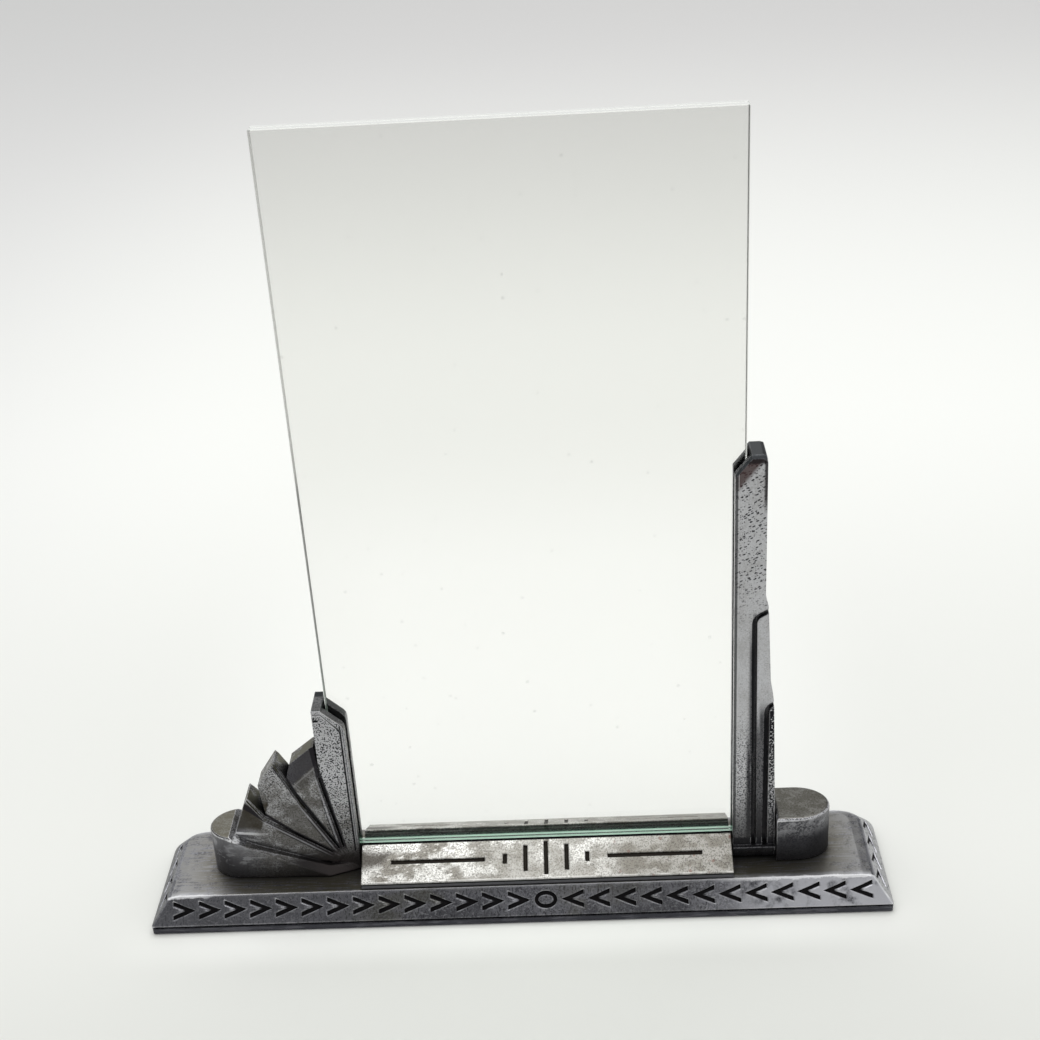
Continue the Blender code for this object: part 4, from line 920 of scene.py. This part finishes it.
# %% Rail: stains and grain
WHITE_METAL, WHITE_TARNISH = (0.66, 0.65, 0.625), (0.44, 0.425, 0.39)
BROWN_GREY = Film((0.245, 0.228, 0.20), 0.42, 0.85)
WIPED_WHITE = Film((0.86, 0.855, 0.83), 0.32, 0.6)
DULL_BROWN = Film((0.225, 0.212, 0.186), 0.42)
WHITE_STREAK = Film((0.84, 0.83, 0.80), 0.34, 0.7)
DARK_SAND = Film((0.100, 0.092, 0.082), 0.5)
WHITE_SAND = Film((0.93, 0.925, 0.90), 0.3)
RUST = Film((0.20, 0.075, 0.055), 0.5, 0.5)
CORNER_STAIN = Film((0.085, 0.075, 0.065), 0.45, 0.9)
RAIL_MIDDLE, RAIL_REACH = 6.0, 52.0

rail = CastMetal("rail_metal", WHITE_METAL, WHITE_TARNISH, 4.0)
across = abs(rail.y)
outer = (abs(rail.x - RAIL_MIDDLE) / RAIL_REACH).above(0.10, 0.90)
clouds = noise(rail.place, 5.0, 5.0, 8.0, (1.4, 1.0, 1.0))
grey = (clouds * 0.6 + outer * 0.28 + rail.x.above(-14.0, -34.0) * 0.10).above(0.26, 0.54)
rail.stain(grey, BROWN_GREY)
rail.stain((clouds - outer * 0.10).above(0.50, 0.38), WIPED_WHITE)
rail.stain(rail.x.above(-30.0, 0.0) * 0.20 + rail.x.above(12.0, 40.0) * 0.30 + 0.14, DULL_BROWN)
streaks = noise(turned(rail.place, 20.0), 0.7, 3.0, 27.0, (3.0, 1.0, 1.0)).above(0.56, 0.66)
rail.stain(streaks * rail.x.above(0.0, -20.0), WHITE_STREAK)
sand = noise(rail.place, 0.42, 2.0, 17.0)
rail.stain(sand.above(0.50, 0.38) * (0.45 + outer * 0.2), DARK_SAND)
bright = sand.above(0.52, 0.60) * clouds.above(0.54, 0.42) * rail.x.above(34.0, 14.0)
rail.stain(bright * (0.35 + across.above(9.0, 5.0) * 0.45), WHITE_SAND)
rail.stain(pits(rail.place, 1.3, 0.10, 23.0) * rail.x.above(22.0, 34.0), RUST)
wander = clouds - 0.5
corner = (rail.x + wander * 14.0).above(-34.0, -38.5) * band(across + wander * 5.0, 5.6, 9.4, 1.2)
rail.stain(corner, CORNER_STAIN)
rail.report()

# %% [markdown]
# The rail's slopes lean evenly away from the two lips of its slot, so a weighted sum of y and z gives
# the depth below them, and that finds the cut marks as it did the chevrons.

# %% Rail: slot, marks and edges
LIP_Y, LIP_Z = 4.15, 17.3
LEAN_Y, LEAN_Z = 0.514, 0.858
MARK_BLACK = Film((0.030, 0.026, 0.022), 0.6)
EDGE_SHINE = Film((0.80, 0.79, 0.77), 0.3, 0.5)
SIDE_SHADE = Film((0.11, 0.11, 0.12), 0.5)
LIP_SHADOW_LINE = Film((0.012, 0.012, 0.012), 0.6)

below = 0.0 - ((across - LIP_Y) * LEAN_Y + (rail.z - LIP_Z) * LEAN_Z)
# Painted shade, black, in the slot between the lips
rail.dirt_and_shade(across.above(4.22, 4.12) * rail.z.above(17.0, 16.7), 0.010)
ragged = below + (noise(rail.place, 0.8, 3.0, 19.0) - 0.5) * 0.5
marks = ragged.above(0.06, 0.28) * across.above(4.3, 4.5) * across.above(13.95, 13.8)
rail.stain(marks, MARK_BLACK)
rail.stain(band(across, 13.6, 14.2, 0.15) * clouds.above(0.40, 0.52), EDGE_SHINE)
side_face = abs(rail.face).above(0.90, 0.97) * across.above(13.5, 13.9)
rail.stain(side_face * rail.z.above(11.35, 11.05), SIDE_SHADE)
# A painted shadow line under the lip on the front face
rail.stain(side_face * band(rail.z, 10.7, 11.1, 0.1), LIP_SHADOW_LINE)
rail.cover(["glass_rail"])

# %% [markdown]
# The six screws underneath are plain steel with dark slots.

# %% Screws
PLAIN_STEEL, STEEL_TARNISH = (0.55, 0.54, 0.52), (0.36, 0.35, 0.33)
SLOT_DIRT = Film((0.06, 0.05, 0.045), 0.6)

steel = CastMetal("screw_steel", PLAIN_STEEL, STEEL_TARNISH, 6.0)
steel.stain(steel.hollow, SLOT_DIRT)
steel.cover([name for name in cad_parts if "screw" in name])

# %% [markdown]
# Picture glass is clear through its face and green through its edge, where light travels far inside
# it. Lamps would leave a dark shadow behind real glass, so shadow rays pass through a plain
# transparent shader instead.

# %% Panes
CLEAR, UPPER_PANE_SHADE, TOP_PANE_SHADE = (1.0, 1.0, 0.995), (0.952, 0.952, 0.942), (0.918, 0.918, 0.908)
DUST, DUST_SIZE = (0.45, 0.45, 0.44), 1.4
DUST_SHARE = -0.008  # below zero, so that only a few specks show, and faintly
EDGE_ABOVE, EDGE_BELOW = (0.86, 0.87, 0.85), (0.42, 0.70, 0.54)
EDGE_HIDES = 0.75
SHADOW_TINT = (0.97, 0.98, 0.97, 1.0)
GLASS_IOR = 1.52


def picture_glass(name):
    """Clear glass greyed near its top as painted shade; ground edges pale above, green below; lets lamps
    through.
    """
    material, shader, place = new_finish(name)
    _, face, _ = split(place.node("NewGeometry", output="True Normal"))
    _, _, up = split(place)
    # Painted shade: the glass greys towards its top
    tint = up.above(100.0, 150.0).mixed(CLEAR, UPPER_PANE_SHADE)
    tint = up.above(160.0, 212.0).mixed(tint, TOP_PANE_SHADE)
    dust = pits(place, DUST_SIZE, DUST_SHARE, 3.0)
    drive(shader, base_color=dust.mixed(tint, DUST))
    shader.inputs["Transmission Weight"].default_value = 1.0
    shader.inputs["Roughness"].default_value = 0.0
    shader.inputs["IOR"].default_value = GLASS_IOR
    edge_tint = up.above(100.0, 20.0).mixed(EDGE_ABOVE, EDGE_BELOW)
    ground = place.node("BsdfPrincipled", None, {"Base Color": edge_tint, "Roughness": 0.5})
    tree = material.node_tree
    rim = abs(face).above(0.9, 0.5) * EDGE_HIDES
    cut = place.node("MixShader", None, {0: rim, 1: Wire(tree, shader.outputs[0]), 2: ground})
    clear = place.node("BsdfTransparent", None, {"Color": SHADOW_TINT})
    for_lamps = place.node("LightPath", output="Is Shadow Ray")
    both = place.node("MixShader", None, {0: for_lamps, 1: cut, 2: clear})
    tree.links.new(both.socket, tree.nodes["Material Output"].inputs["Surface"])
    return material


put_on(["front_glass", "rear_glass"], picture_glass("picture_glass"))

# %% [markdown]
# Last come the colour settings.

# %% Finish
bpy.context.scene.view_settings.view_transform = "Standard"
